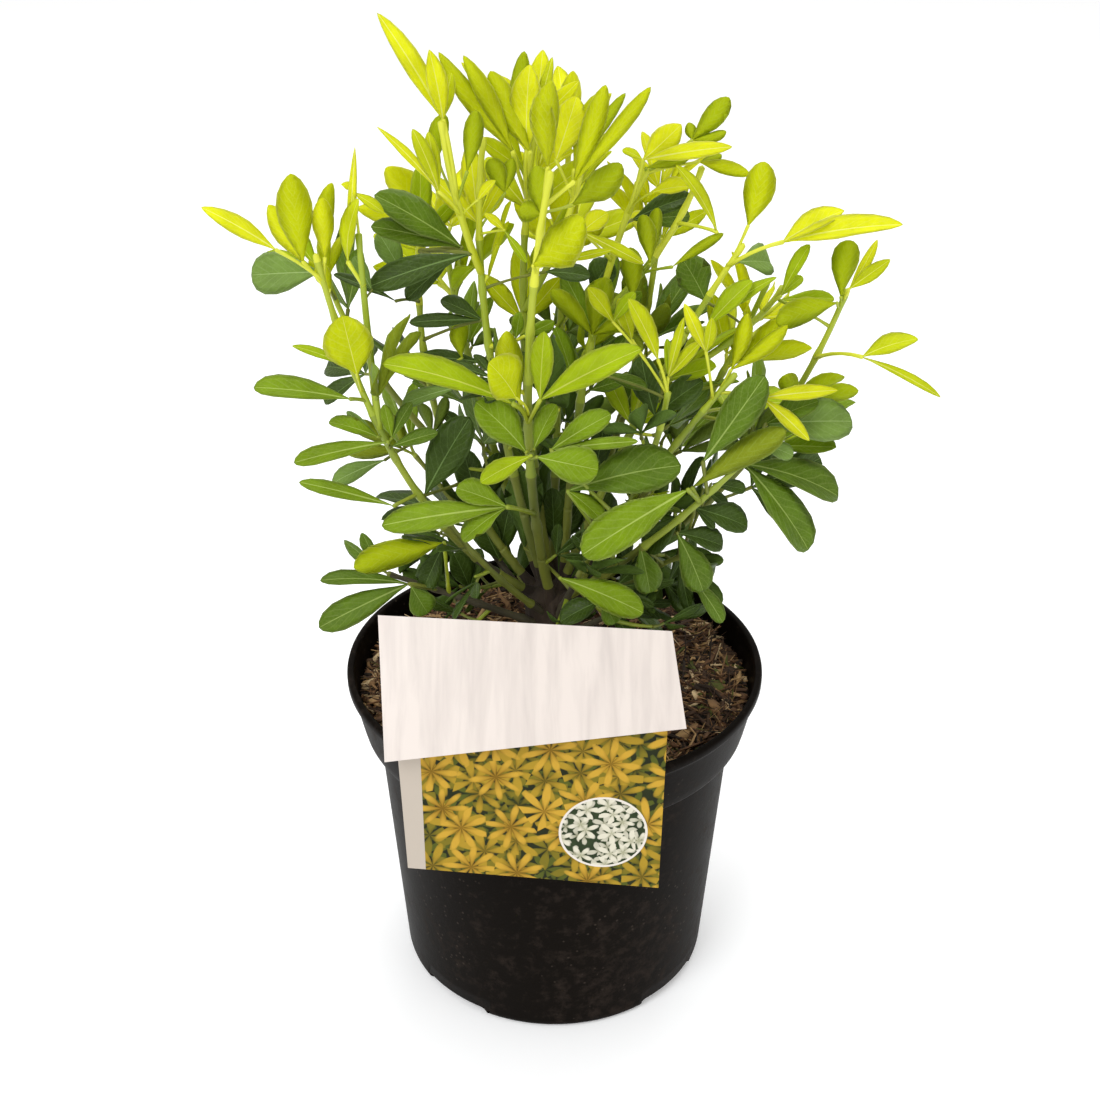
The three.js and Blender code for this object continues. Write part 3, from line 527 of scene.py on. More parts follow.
# Where the photograph shows single sprays, each leaf has its own row, measured in its pixels: its
# stem, its depth y in mm, where its leaflets part, where its stalk leaves the stem, whether it shows its
# underside, and for each leaflet its tip, its width, its tone from 0 (yellow) to 6, and how much deeper its
# tip lies
sprays = [
    # upper left
    ("tall_left", -14, (443, 120), (470, 208), 0,
     [(375, 12, 21, 0, 4), (428, 48, 21, 0, -4), (452, 72, 14, 1, 6)]),
    ("tall_left", -6, (438, 160), (470, 205), 1, [(443, 113, 19, 2, 0)]),
    ("tall_left", -18, (439, 192), (468, 220), 0,
     [(376, 126, 9, 0, -4), (412, 128, 16, 1, 3), (428, 131, 15, 1, 8)]),
    ("tall_left", -16, (467, 172), (470, 205), 1, [(476, 110, 20, 2, 0)]),
    ("left_main", -24, (276, 250), (328, 285), 0, [(200, 207, 19, 0, -4)]),
    ("left_main", -24, (303, 262), (330, 290), 1, [(290, 172, 36, 1, -4), (268, 204, 26, 0, 4)]),
    ("left_main", -20, (325, 258), (332, 290), 1, [(331, 181, 18, 1, 6), (322, 198, 22, 0, -4)]),
    ("left_main", -18, (348, 262), (350, 295), 0, [(355, 145, 9, 0, 4), (361, 197, 19, 1, -4)]),
    ("left_main", -18, (352, 192), (346, 250), 0, [(385, 213, 11, 1, 0)]),
    ("left_back", 6, (462, 248), (470, 262), 0, [(374, 194, 32, 4, -4), (371, 225, 22, 4, -10)]),
    ("left_back", -4, (470, 254), (472, 262), 0, [(368, 288, 27, 5, -6)]),
    ("left_back", 14, (322, 272), (345, 300), 0, [(250, 275, 40, 6, 4)]),
    ("left_back", 12, (404, 276), (398, 290), 0, [(378, 232, 24, 6, 4)]),
    ("left_main", -14, (372, 290), (388, 300), 0, [(354, 256, 14, 6, 2)]),
    ("left_back", -6, (396, 301), (405, 305), 0, [(333, 274, 10, 5, 4)]),
    ("left_back", 0, (452, 260), (470, 262), 0, [(406, 300, 18, 5, 2)]),
    ("tall_left", 4, (475, 266), (478, 250), 0, [(452, 289, 15, 2, 2)]),
    ("left_main", -16, (352, 190), (352, 200), 0, [(341, 184, 9, 0, 0)]),
    ("left_main", -16, (330, 290), (335, 300), 1, [(318, 262, 17, 1, 4)]),
    # centre top
    ("centre_top", -2, (513, 152), (520, 200), 1, [(437, 51, 20, 1, 4), (463, 54, 20, 1, -2)]),
    ("centre_top", -4, (530, 152), (540, 205), 1, [(490, 70, 28, 1, 4), (460, 62, 16, 0, 8)]),
    ("centre_top", 10, (506, 140), (520, 190), 1, [(524, 50, 17, 2, 4)]),
    ("centre_top", 0, (527, 150), (540, 205), 0, [(531, 63, 32, 0, 4), (553, 56, 13, 1, 8)]),
    ("front_centre", -37, (548, 168), (546, 212), 1, [(553, 80, 30, 1, 0), (540, 92, 22, 1, 4)]),
    ("centre_top", 6, (556, 160), (550, 205), 0, [(577, 96, 34, 0, 6)]),
    ("front_centre", -33, (574, 182), (548, 212), 1, [(606, 84, 23, 1, 4), (651, 86, 17, 1, 2)]),
    ("centre_top", 4, (574, 170), (560, 205), 1, [(601, 92, 27, 1, 4), (626, 92, 12, 2, 6)]),
    ("front_centre", -28, (572, 205), (548, 214), 1, [(622, 163, 30, 2, 4)]),
    ("front_centre", -26, (541, 215), (540, 225), 1, [(536, 165, 26, 2, 6), (519, 208, 22, 2, 2)]),
    ("front_centre", -44, (533, 266), (531, 275), 1, [(586, 218, 46, 1, -4)]),
    ("front_centre", -34, (560, 262), (533, 270), 0, [(613, 250, 9, 1, 2)]),
    ("right_top", -10, (582, 232), (560, 262), 0, [(645, 264, 13, 1, -4), (608, 212, 22, 0, 4)]),
    ("right_top", -6, (650, 264), (656, 300), 1, [(643, 214, 19, 2, 0), (658, 207, 15, 2, 4)]),
    ("tall_left", -6, (505, 193), (502, 240), 1, [(490, 158, 20, 2, 0), (513, 158, 14, 2, 4)]),
    ("tall_left", -10, (478, 200), (473, 220), 0, [(496, 180, 11, 0, 0)]),
    ("tall_left", -12, (504, 230), (503, 240), 0, [(484, 213, 9, 0, 0), (527, 263, 9, 2, -2)]),
    ("tall_left", 6, (545, 272), (530, 290), 0, [(591, 276, 18, 5, -4)]),
    ("right_top", 10, (590, 292), (592, 310), 0, [(612, 260, 28, 5, 2)]),
    # upper right
    ("right_top", 0, (643, 160), (600, 225), 0,
     [(682, 124, 27, 0, 4), (734, 147, 17, 0, -2), (622, 150, 9, 1, 4)]),
    ("right_top", 6, (692, 140), (645, 170), 1,
     [(730, 97, 22, 2, 2), (727, 132, 11, 2, -4), (688, 122, 11, 2, 4)]),
    ("right_top", 2, (699, 162), (645, 170), 1, [(751, 176, 15, 1, 0), (722, 155, 10, 2, 4)]),
    ("right_top", -6, (717, 232), (722, 265), 0, [(674, 164, 14, 1, 2)]),
    ("right_top", -4, (672, 267), (655, 295), 1, [(724, 233, 11, 2, 2)]),
    ("right", -12, (748, 226), (724, 264), 1, [(765, 161, 32, 1, 2)]),
    ("right_top", 2, (651, 193), (610, 212), 0, [(694, 186, 16, 0, 0)]),
    ("right_top", 14, (632, 220), (610, 225), 0, [(692, 196, 20, 5, 2), (690, 216, 22, 4, 8)]),
    ("right_back", 6, (706, 302), (712, 320), 0, [(681, 258, 34, 4, 2)]),
    ("right_top", 2, (646, 168), (640, 175), 1, [(693, 153, 14, 2, -2)]),
    ("right_top", 0, (632, 300), (640, 310), 1, [(630, 247, 21, 2, 2)]),
    ("right", 6, (738, 262), (728, 268), 0, [(772, 262, 30, 6, 8)]),
    # far right
    ("right", -14, (783, 242), (726, 265), 0, [(845, 211, 22, 0, 6), (904, 226, 25, 0, -4)]),
    ("far_right", -6, (841, 297), (838, 304), 1, [(850, 239, 26, 2, 0)]),
    ("far_right", -8, (849, 289), (840, 300), 0, [(878, 239, 11, 0, 2), (891, 259, 15, 1, -2)]),
    ("right", -8, (781, 296), (765, 315), 0, [(809, 244, 14, 2, 0), (803, 276, 12, 2, 4)]),
    ("far_right", 0, (779, 300), (765, 315), 0, [(836, 298, 14, 2, 4)]),
    ("far_right", -8, (837, 303), (838, 310), 1, [(775, 322, 26, 2, -4)]),
    ("far_right", -34, (862, 357), (830, 372), 0, [(919, 338, 21, 1, 0), (944, 397, 10, 1, 2)]),
    ("right_front", -26, (762, 398), (742, 420), 0, [(839, 389, 15, 0, 0), (811, 441, 15, 0, -6)]),
    ("right_low", -16, (766, 424), (745, 440), 0, [(854, 421, 42, 6, 4), (820, 402, 26, 4, -2)]),
    ("right_low", -30, (703, 462), (690, 487), 0, [(766, 374, 36, 4, 4)]),
    ("right_low", -34, (692, 488), (686, 495), 1, [(788, 430, 27, 3, 0)]),
    ("right_low", -24, (760, 442), (745, 452), 0, [(794, 456, 17, 6, -2)]),
    ("right_low", -20, (744, 464), (735, 470), 0, [(840, 497, 31, 4, 4), (808, 551, 36, 4, -6)]),
    ("right_front", -24, (731, 370), (702, 400), 1, [(749, 312, 17, 1, 2), (789, 325, 17, 1, -2)]),
    ("right", -18, (706, 328), (700, 345), 0, [(753, 280, 20, 2, 2), (777, 275, 13, 2, 4)]),
    ("right_front", -30, (706, 352), (702, 398), 0, [(684, 303, 14, 0, 2), (712, 318, 12, 1, -4)]),
    # middle left
    ("left_main", -30, (357, 374), (365, 390), 0, [(342, 315, 50, 1, 2)]),
    ("left_main", -22, (356, 370), (365, 385), 0, [(291, 345, 9, 2, 2)]),
    ("left_main", -26, (350, 399), (368, 402), 0, [(253, 388, 26, 3, 0)]),
    ("left_main", -22, (378, 437), (382, 440), 0, [(328, 422, 18, 3, 0), (346, 411, 8, 6, 8)]),
    ("left_main", -28, (388, 442), (385, 450), 0, [(292, 462, 19, 3, -2)]),
    ("left_back", -6, (385, 460), (390, 470), 0, [(332, 484, 18, 6, 0)]),
    ("left_main", -26, (394, 506), (400, 510), 0, [(298, 482, 15, 3, 0)]),
    ("front_centre", -44, (513, 404), (526, 424), 0, [(380, 365, 28, 2, -2)]),
    ("left_back", 4, (482, 320), (486, 350), 0, [(440, 300, 16, 5, 2), (408, 322, 14, 5, -2)]),
    ("left_back", 8, (462, 358), (462, 390), 1, [(463, 321, 18, 2, 0)]),
    ("back_left", 12, (486, 363), (490, 390), 0, [(419, 357, 15, 5, 0)]),
    ("left_back", -10, (456, 388), (470, 400), 0, [(402, 405, 17, 6, 0)]),
    ("left_back", -16, (425, 495), (420, 510), 0, [(469, 417, 38, 5, 2)]),
    ("left_main", -22, (390, 447), (388, 455), 0, [(438, 432, 15, 4, -2)]),
    ("left_main", -20, (392, 438), (386, 445), 0, [(412, 402, 13, 4, 2), (384, 404, 13, 3, 0)]),
    ("front_centre", -50, (507, 507), (536, 515), 0,
     [(379, 525, 29, 3, 0), (456, 487, 24, 3, 4), (462, 541, 24, 3, -6)]),
    ("left_back", -12, (432, 436), (428, 450), 1, [(420, 401, 13, 4, 0), (446, 396, 12, 4, 4)]),
    # centre
    ("front_centre", -38, (520, 402), (527, 420), 1, [(506, 330, 27, 1, 8)]),
    ("front_centre", -48, (516, 398), (527, 420), 0, [(490, 362, 36, 1, -4)]),
    ("front_centre", -40, (540, 400), (531, 425), 0, [(544, 331, 24, 2, 4), (644, 349, 33, 2, -2)]),
    ("front_centre", -42, (526, 452), (528, 456), 0, [(476, 401, 36, 3, 0)]),
    ("front_centre", -36, (534, 449), (530, 456), 0, [(557, 404, 22, 3, 4)]),
    ("front_centre", -52, (531, 456), (531, 458), 0, [(480, 483, 20, 2, -4)]),
    ("front_centre", -50, (537, 457), (531, 458), 0, [(599, 470, 38, 3, -2)]),
    ("inner_right", -40, (551, 450), (545, 460), 0, [(612, 414, 24, 3, 2), (640, 442, 12, 3, -6)]),
    ("right_low", -40, (568, 491), (545, 520), 0, [(683, 466, 44, 4, 2), (602, 521, 20, 3, -6)]),
    ("right_low", -50, (688, 490), (692, 495), 0, [(582, 556, 42, 3, -6)]),
    ("inner_right", 2, (525, 548), (535, 560), 1, [(524, 468, 38, 5, 0)]),
    ("right_front", -20, (600, 374), (590, 390), 0, [(648, 388, 13, 4, 0)]),
    ("right_front", -16, (655, 416), (650, 430), 0, [(641, 354, 28, 5, 2), (703, 380, 28, 5, -2)]),
    ("right_front", -28, (658, 360), (664, 380), 0, [(629, 298, 20, 1, 2), (648, 318, 12, 1, 6)]),
    ("right_front", -28, (668, 378), (665, 385), 0,
     [(702, 340, 13, 1, 0), (684, 317, 11, 1, 2), (667, 338, 10, 2, 4)]),
    ("right_front", -20, (613, 322), (625, 345), 0, [(588, 287, 17, 1, 0), (636, 292, 14, 2, 2)]),
    ("right_front", -18, (632, 340), (640, 360), 0, [(619, 298, 17, 1, 0)]),
    # dark leaves behind the front stem
    ("back_left", 14, (480, 505), (486, 520), 0, [(462, 446, 27, 5, 0), (500, 452, 25, 5, 4)]),
    ("back_left", 12, (500, 560), (502, 572), 0, [(478, 512, 26, 5, 0), (512, 500, 25, 5, 4)]),
    ("back_centre", 14, (554, 545), (546, 558), 0, [(552, 488, 27, 5, 0), (580, 505, 22, 5, 4)]),
    ("back_right", 14, (606, 545), (596, 560), 0, [(598, 488, 26, 5, 0), (634, 508, 22, 5, 4)]),
    ("low_back_left", 10, (470, 590), (476, 602), 0, [(452, 552, 22, 5, 0), (482, 548, 20, 5, 4)]),
    # lower right
    ("low_right", -24, (711, 484), (695, 495), 0, [(746, 490, 13, 5, 0)]),
    ("low_right", -26, (695, 508), (680, 505), 0, [(748, 527, 26, 5, 0), (715, 529, 9, 5, -2)]),
    ("low_right", -30, (677, 533), (665, 530), 0, [(722, 547, 20, 5, 4), (703, 592, 30, 4, -4)]),
    ("low_right", -22, (690, 575), (680, 560), 0, [(723, 623, 17, 4, -4)]),
    ("low_right", -26, (681, 515), (670, 510), 0, [(647, 552, 26, 5, -2)]),
    ("low_right", -30, (640, 545), (640, 530), 0, [(650, 593, 28, 4, -4)]),
    ("low_right", -20, (703, 489), (695, 495), 0, [(728, 508, 11, 5, 0)]),
    ("low_right", -14, (679, 560), (675, 550), 0, [(690, 613, 15, 5, -4)]),
    # lower left and front
    ("low_left", -44, (444, 543), (470, 570), 1, [(353, 568, 30, 2, -4)]),
    ("low_left", -34, (409, 584), (455, 577), 0, [(319, 582, 15, 4, 0), (318, 628, 28, 4, -8)]),
    ("low_left", -44, (411, 586), (455, 577), 0, [(428, 614, 26, 4, -4)]),
    ("low_front", -48, (560, 578), (545, 583), 0, [(644, 614, 30, 3, -6)]),
    ("low_front", -46, (602, 600), (575, 590), 0, [(560, 622, 24, 5, -4), (615, 624, 20, 4, -4)]),
    ("inner_left", -30, (442, 548), (455, 560), 0, [(424, 588, 24, 5, 0)]),
]
# Places in the crown, in pixels too, where the photograph shows the background
openings = [
    (400, 170), (452, 140), (453, 165), (408, 142), (625, 162), (632, 140), (735, 200), (733, 172),
    (748, 190), (747, 226), (763, 226), (775, 225), (788, 205), (788, 250), (776, 260), (760, 246),
    (680, 237), (662, 250), (703, 212), (368, 250), (440, 287), (463, 290), (422, 343), (438, 328),
    (434, 343), (414, 323), (355, 410), (338, 408), (412, 431), (410, 472), (396, 474), (452, 407),
    (567, 415), (455, 532), (755, 500), (742, 480), (750, 517), (718, 552), (692, 524), (666, 547),
    (766, 372), (870, 304), (860, 331), (845, 310), (676, 252), (660, 266), (722, 536), (393, 528),
    (384, 493), (374, 311),
]
sprayLook = dict(seed=35, turns=30, tilt=0.45, skyward=0.6, slimmest=0.6, droop=0.22, wider=1.08, place=0.5,
                 age=0.5, wild=0.3)
# How a stalk finds its root: shares of the stem and of its forks that are searched, and how much a millimetre
# away as seen weighs against one along the stalk
rootSearch = dict(stem=[0.02, 0.99, 80], fork=[0, 0.98, 40], seen=2, stalk=1.2)
# What other leaves keep clear of: the middles of the sprays' blades and a stretch of the front stem, in mm
sprayRoom = dict(before=-5, beside=0.55, middle=0.6, half=0.4, ownHalf=0.28, stem=[0.05, 0.65, 40],
                 stemHalf=6, blade=[0.15, 0.5, 0.85], probe=[0.6, 0.9], cover=14, opening=6.5)


def placeAt(pixel, y):
    # The point at depth y that shows at a pixel: the ray through it, run on from the viewer to that depth
    across = (pixel[0] - eye["centre"]) / eye["focal"]
    upward = (eye["centre"] - pixel[1]) / eye["focal"]
    cosine, sine = math.cos(eye["pitch"]), math.sin(eye["pitch"])
    ray = np.array([across, cosine + upward * sine, upward * cosine - sine])
    return viewer + ray * (y - viewer[1]) / ray[1]


def seenAt(points):
    # Where points show on the plane y = 0, seen from the viewer's place
    away = points - viewer
    share = -viewer[1] / away[:, 1]
    return (viewer + away * share[:, None])[:, [0, 2]]


def sprayRoot(stem, pixel, joint):
    # Where a stalk leaves its stem: the point of its lines nearest to the pixel as seen, and to the joint
    low, high, steps = rootSearch["stem"]
    lines = [pointOn(stem["curve"], np.linspace(max(low, stem["share"]), high, steps))]
    lines += [pointOn(fork["curve"], np.linspace(*rootSearch["fork"])) for fork in stem["forks"]]
    points = np.concatenate(lines)
    aside = np.linalg.norm(seenAt(points) - seenAt(placeAt(pixel, 0.0)[None]), axis=1)
    stalk = np.linalg.norm(points - joint, axis=1)
    return points[(rootSearch["seen"] * aside + rootSearch["stalk"] * stalk).argmin()]


def sprayLeaf(name, depth, jointPixel, rootPixel, under, tips):
    # A leaf with its blades turned to the viewer and a little up, or away if it shows its underside. A blade
    # seen at a slant is wider than it looks, by 1 / cos of that angle.
    owner = [stem["name"] for stem in stems].index(name)
    joint = placeAt(jointPixel, depth)
    root = sprayRoot(stems[owner], rootPixel, joint)
    ends = np.array([placeAt(tip[:2], depth + tip[4]) for tip in tips])
    away = (ends - viewer) @ [0, math.cos(eye["pitch"]), -math.sin(eye["pitch"])]
    half = 0.5 * np.array([tip[2] for tip in tips]) * away / eye["focal"]
    run = ends - joint
    length = np.linalg.norm(run, axis=1)
    forward = run / length[:, None]
    view = unit(viewer - joint)
    facing = view + sprayDice.uniform(-sprayLook["tilt"], sprayLook["tilt"], (len(tips), 3))
    facing = facing + [0, 0, 0 if under else sprayLook["skyward"]]
    square = [unit(way - forward * (way * forward).sum(-1, keepdims=True)) for way in (view, facing)]
    up = square[1] * (-1 if under else 1)
    slant = np.clip((square[0] * square[1]).sum(-1), sprayLook["slimmest"], 1)
    heading = unit(joint - root + [0, 0, 0.01])
    return dict(root=root, joint=joint, way=heading, up=up, forward=forward, side=np.cross(up, forward),
                length=length, droop=sprayLook["droop"], half=sprayLook["wider"] * half / length / slant,
                place=sprayLook["place"], heading=heading, stem=owner, age=sprayLook["age"],
                tone=np.array([tip[3] for tip in tips]), wild=sprayLook["wild"])


def bladeSpots(leaf, shares):
    # Points at these shares along each blade of a leaf
    forward, length = leaf["forward"], leaf["length"][:, None]
    return np.concatenate([leaf["joint"] + share * forward * length for share in shares])


def keepsClear(leaf):
    # Whether a leaf leaves the sprays and the front stem in view and the openings open, and stays behind or
    # beside the sprays, as seen
    middles = bladeSpots(leaf, [sprayRoom["middle"]])
    seen = seenAt(middles)
    depth = np.linalg.norm(middles - viewer, axis=1)
    reach = sprayRoom["beside"] * (watchedHalf + sprayRoom["ownHalf"] * leaf["length"][0])
    near = np.linalg.norm(seen[:, None] - watchedSeen[None], axis=2) < reach
    if (near & (depth[:, None] < watchedDepth - sprayRoom["before"])).any():
        return False
    away = seenAt(bladeSpots(leaf, sprayRoom["probe"]))[:, None] - covered[None]
    if (np.linalg.norm(away, axis=2).min(1) > sprayRoom["cover"]).any():
        return False
    return not (np.linalg.norm(seen[:, None] - openSpots[None], axis=2) < sprayRoom["opening"]).any()


sprayDice = np.random.default_rng(sprayLook["seed"])
standing = Standing()
leaves = []
touching = 0
for row in sprays:
    for attempt in range(sprayLook["turns"]):
        leaf = sprayLeaf(*row)
        outline = leafOutline(leaf)
        if standing.free(leaf, outline):
            break
    else:
        touching += 1
    leaves.append(leaf)
    standing.add(outline)
frontStem = pointOn(stems[0]["curve"], np.linspace(*sprayRoom["stem"]))
watched = np.concatenate([bladeSpots(leaf, [sprayRoom["middle"]]) for leaf in leaves] + [frontStem])
watchedHalf = np.concatenate([leaf["length"] * sprayRoom["half"] for leaf in leaves]
                             + [np.full(len(frontStem), sprayRoom["stemHalf"])])
watchedSeen, watchedDepth = seenAt(watched), np.linalg.norm(watched - viewer, axis=1)
covered = np.concatenate([seenAt(bladeSpots(leaf, sprayRoom["blade"])) for leaf in leaves])
openSpots = seenAt(np.array([placeAt(pixel, 0.0) for pixel in openings]))
for owner, stem in enumerate(stems):
    dice = makeDice(stem["seed"])
    start = stem["share"] + 0.001 if stem["share"] else 0
    shootLeaves(standing, owner, stem["curve"], start + habit["firstPair"] * (1 - start), stem, dice, leaves)
    for fork in stem["forks"]:
        shootLeaves(standing, owner, fork["curve"], habit["firstForkPair"], fork, dice, leaves)
print("leaves:", len(sprays), "in single sprays, of which", touching, "touch another, and",
      len(leaves) - len(sprays), "by the source's rule")


# Finer twigs
def growPairs(dice, owner, curve, way, square, pairs, jitter, age):
    # Opposite pairs of small leaves on a short shoot. A pair has its share along the shoot, the place from 0
    # to 1 on a stem whose leaves it is like, its turn in degrees and its leaves' size.
    across, up = square
    grown = []
    for share, place, turn, size in pairs:
        for half in (0, 180):
            angle = math.radians(turn + half + dice.uniform(-jitter, jitter))
            roll = math.radians(dice.uniform(-chance["twigRoll"], chance["twigRoll"]))
            facing = across * math.cos(angle) + up * math.sin(angle)
            leaf = tryLeaf(standing, owner, pointOn(curve, share), way, facing, size, place, roll)
            if leaf:
                leaf.update(stem=owner, age=age)
                grown.append(leaf)
    if grown:
        leaves.extend(grown)
        twigs.append(curve)


# Young shoots in the axils of the older leaves
twigLook = dict(seed=5, share=0.6, upTo=0.85, shortest=8, longest=26, lean=38, leanFrom=0.7, leanMore=0.6,
                leaf=[0.36, 0.62], ahead=1.5, rise=0.15, bow=0.06, smaller=0.2, younger=0.45, jitter=20,
                pairs=[(0.5, 0.55), (0.98, 1.0)])
twigDice = np.random.default_rng(twigLook["seed"])
twigs = []
for parent in [leaf for leaf in leaves if leaf["place"] < twigLook["upTo"] and "wild" not in leaf]:
    chosen, length, size, lean = twigDice.uniform(size=4)
    if chosen > twigLook["share"]:
        continue
    outward = unit(parent["heading"] - parent["way"] * (parent["heading"] @ parent["way"]))
    lean = math.radians(twigLook["lean"] * (twigLook["leanFrom"] + twigLook["leanMore"] * lean))
    way = unit(parent["way"] * math.cos(lean) + outward * math.sin(lean))
    length = np.interp(length, [0, 1], [twigLook["shortest"], twigLook["longest"]])
    root = parent["root"] + parent["way"] * twigLook["ahead"]
    tip = root + way * length + np.array([0, 0, twigLook["rise"] * length])
    curve = bentLine(root, (root + tip) / 2 + outward * twigLook["bow"] * length, tip)
    size = parent["length"][0] * np.interp(size, [0, 1], twigLook["leaf"])
    turn = 360 * lean
    low, high = twigLook["pairs"]
    pairs = [(*low, turn, size), (*high, 90 + turn, size * (1 - twigLook["smaller"]))]
    ahead = wayOn(curve, 0.99)
    age = max(0.0, parent["age"] - twigLook["younger"])
    growPairs(twigDice, parent["stem"], curve, ahead, sideways(ahead), pairs, twigLook["jitter"], age)
print("with finer twigs:", len(leaves), "leaves,", len(twigs), "twigs")

# Short shoots on the lower half of every stem, which fill the crown's dark inside
innerLook = dict(seed=19, each=5, low=0.06, high=0.6, shortest=8, longest=30, lean=[35, 80], leaf=[24, 38],
                 sag=0.05, jitter=25, age=1.0, pairs=[(0.55, 0.25, 50), (1.0, 0.7, 140)])
innerDice = np.random.default_rng(innerLook["seed"])
for owner, stem in enumerate(stems):
    for i in range(innerLook["each"]):
        step = (i + innerDice.uniform()) / innerLook["each"]
        share = innerLook["low"] + (innerLook["high"] - innerLook["low"]) * step
        root, ahead = pointOn(stem["curve"], share), wayOn(stem["curve"], share)
        across, up = sideways(ahead)
        angle, lean = innerDice.uniform(0, 2 * math.pi), math.radians(innerDice.uniform(*innerLook["lean"]))
        outward = across * math.cos(angle) + up * math.sin(angle)
        way = unit(ahead * math.cos(lean) + outward * math.sin(lean))
        length = innerDice.uniform(innerLook["shortest"], innerLook["longest"])
        tip = root + way * length
        curve = bentLine(root, root + way * length / 2 - np.array([0, 0, innerLook["sag"] * length]), tip)
        size = innerDice.uniform(*innerLook["leaf"])
        square = sideways(way) if way[2] > -0.5 else (outward, np.cross(way, outward))
        pairs = [(*pair, size) for pair in innerLook["pairs"]]
        growPairs(innerDice, owner, curve, way, square, pairs, innerLook["jitter"], innerLook["age"])
print("with inner shoots:", len(leaves), "leaves,", len(twigs), "twigs")


# Leaf colours, yellow (tone 0) to the grey-green of a painted sheen (tone 6): the top, the underside, and the
# midrib, rim and veins, with how rough they are, how much light comes through, and how strongly the top
# shines
leafColours = dict(
    yellow=dict(top="#e0e216", under="#dade16", rib="#f4f68c", rough=0.52, glow=0.48, shine=0.12),
    lime=dict(top="#cfd70e", under="#cbd20e", rib="#eef07c", rough=0.5, glow=0.48, shine=0.12),
    bright=dict(top="#aec40e", under="#b4c010", rib="#d4de62", rough=0.46, glow=0.42, shine=0.13),
    fresh=dict(top="#7d9a12", under="#8d9b20", rib="#b2c860", rough=0.43, glow=0.26, shine=0.15),
    green=dict(top="#587414", under="#6b7f2a", rib="#94aa54", rough=0.4, glow=0.16, shine=0.17),
    dark=dict(top="#3a4f12", under="#506826", rib="#6a8446", rough=0.38, glow=0.1, shine=0.2),
    # tone 6 is painted sheen: the look of light reflected off glossy dark leaves, put into their colour as a
    # lighter grey-green
    pale=dict(top="#73903e", under="#809654", rib="#9fba70", rough=0.4, glow=0.14, shine=0.2),
)
ribLook = dict(rougher=0.08, mottle=0.05)
underLook = dict(rough=0.62, shine=0.1, mottle=0.08)
topMottle = 0.14
leafSteps = [0.16, 0.32, 0.48, 0.66, 0.84] # youth at which a leaf passes from dark to green, fresh and so on
leafYouth = dict(low=170, high=335, height=0.6, age=0.55, spread=0.1, seed=12,
                 tint=dict(gold=0.1, green=-0.06, dark=-0.22))
# net: share of a cell network that is partly veins, partly painted highlight; rim: share of a painted edge
# highlight along the margin
veinLook = dict(pairs=8, slant=2.6, warp=7, strength=0.22, veinNetAndHighlight=0.12, rim=0.75)


def leafFinish(name, code, light, rough, glowShare, shine, mottle):
    # Side veins leave the midrib at a slant, eight pairs to a blade: light where
    # sin(2 pi (pairs along - slant |across|)) is near its top. A fine cell network, partly veins and partly a
    # painted highlight, is lightened too. A light rim, a painted edge highlight, runs where |across| is near
    # 1, and patches of two greens lie between.
    look = Finish(name)
    colour = hexColour(code)
    where = look.node("ShaderNodeUVMap", {"uv_map": "blade"})
    across, along = (look.node("ShaderNodeSeparateXYZ", None, {"Vector": where}, i) for i in (0, 1))
    across = across.does("ABSOLUTE")
    patch = look.noise(90, 3.0)
    phase = 6.28 * (veinLook["pairs"] * along - veinLook["slant"] * across) + veinLook["warp"] * patch
    veins = look.ramp(phase.does("SINE"), (0.75, 0.0), (1.0, 1.0))
    # painted edge highlight: the blade's margin is lightened towards the light colour
    rim = look.ramp(across, (0.84, 0.0), (0.97, 1.0))
    # a cell network, partly real veins and partly painted highlight
    veinNetAndHighlight = look.ramp(look.cells(520, "DISTANCE_TO_EDGE"), (0.0, 1.0), (0.14, 0.0))
    patches = look.ramp(patch, (0.35, 0.0), (0.65, 1.0))
    base = look.blend(patches, scaled(colour, 1 - mottle), scaled(colour, 1 + mottle))
    base = look.blend(veinLook["strength"] * veins + veinLook["veinNetAndHighlight"] * veinNetAndHighlight, base, hexColour(light))
    base = look.blend(veinLook["rim"] * rim, base, hexColour(light))
    grain = look.noise(1500, 2.0)
    sockets = {"Base Color": base, "Roughness": 0.16 * patch + (rough - 0.08), "Specular IOR Level": shine,
               "Normal": look.relief(0.5 * veins + 0.5 * veinNetAndHighlight + 0.4 * grain + 1.5 * patch, 0.0003, 0.5)}
    return look.finish(sockets, scaled(colour, 1.25), glowShare)


leafMaterials = []
for name, tone in leafColours.items():
    rib, rough, glow, shine = tone["rib"], tone["rough"], tone["glow"], tone["shine"]
    ribRough = rough + ribLook["rougher"]
    leafMaterials += [
        leafFinish("leaf_" + name, tone["top"], rib, rough, glow, shine, topMottle),
        leafFinish("leafRib_" + name, rib, rib, ribRough, glow, shine, ribLook["mottle"]),
        leafFinish("leafUnder_" + name, tone["under"], rib, underLook["rough"], glow, underLook["shine"],
                   underLook["mottle"]),
    ]

youthDice = np.random.default_rng(leafYouth["seed"])
for leaf in [leaf for leaf in leaves if "tone" not in leaf]:
    height = np.interp(leaf["joint"][2], [leafYouth["low"], leafYouth["high"]], [0, 1])
    tint = leafYouth["tint"][stems[leaf["stem"]]["tint"]]
    youth = leafYouth["height"] * height + leafYouth["age"] * (0.5 - leaf["age"]) + tint
    youth += youthDice.normal(0, leafYouth["spread"])
    leaf["tone"] = len(leafSteps) - int(np.searchsorted(leafSteps, youth)) # 0 is the yellow one


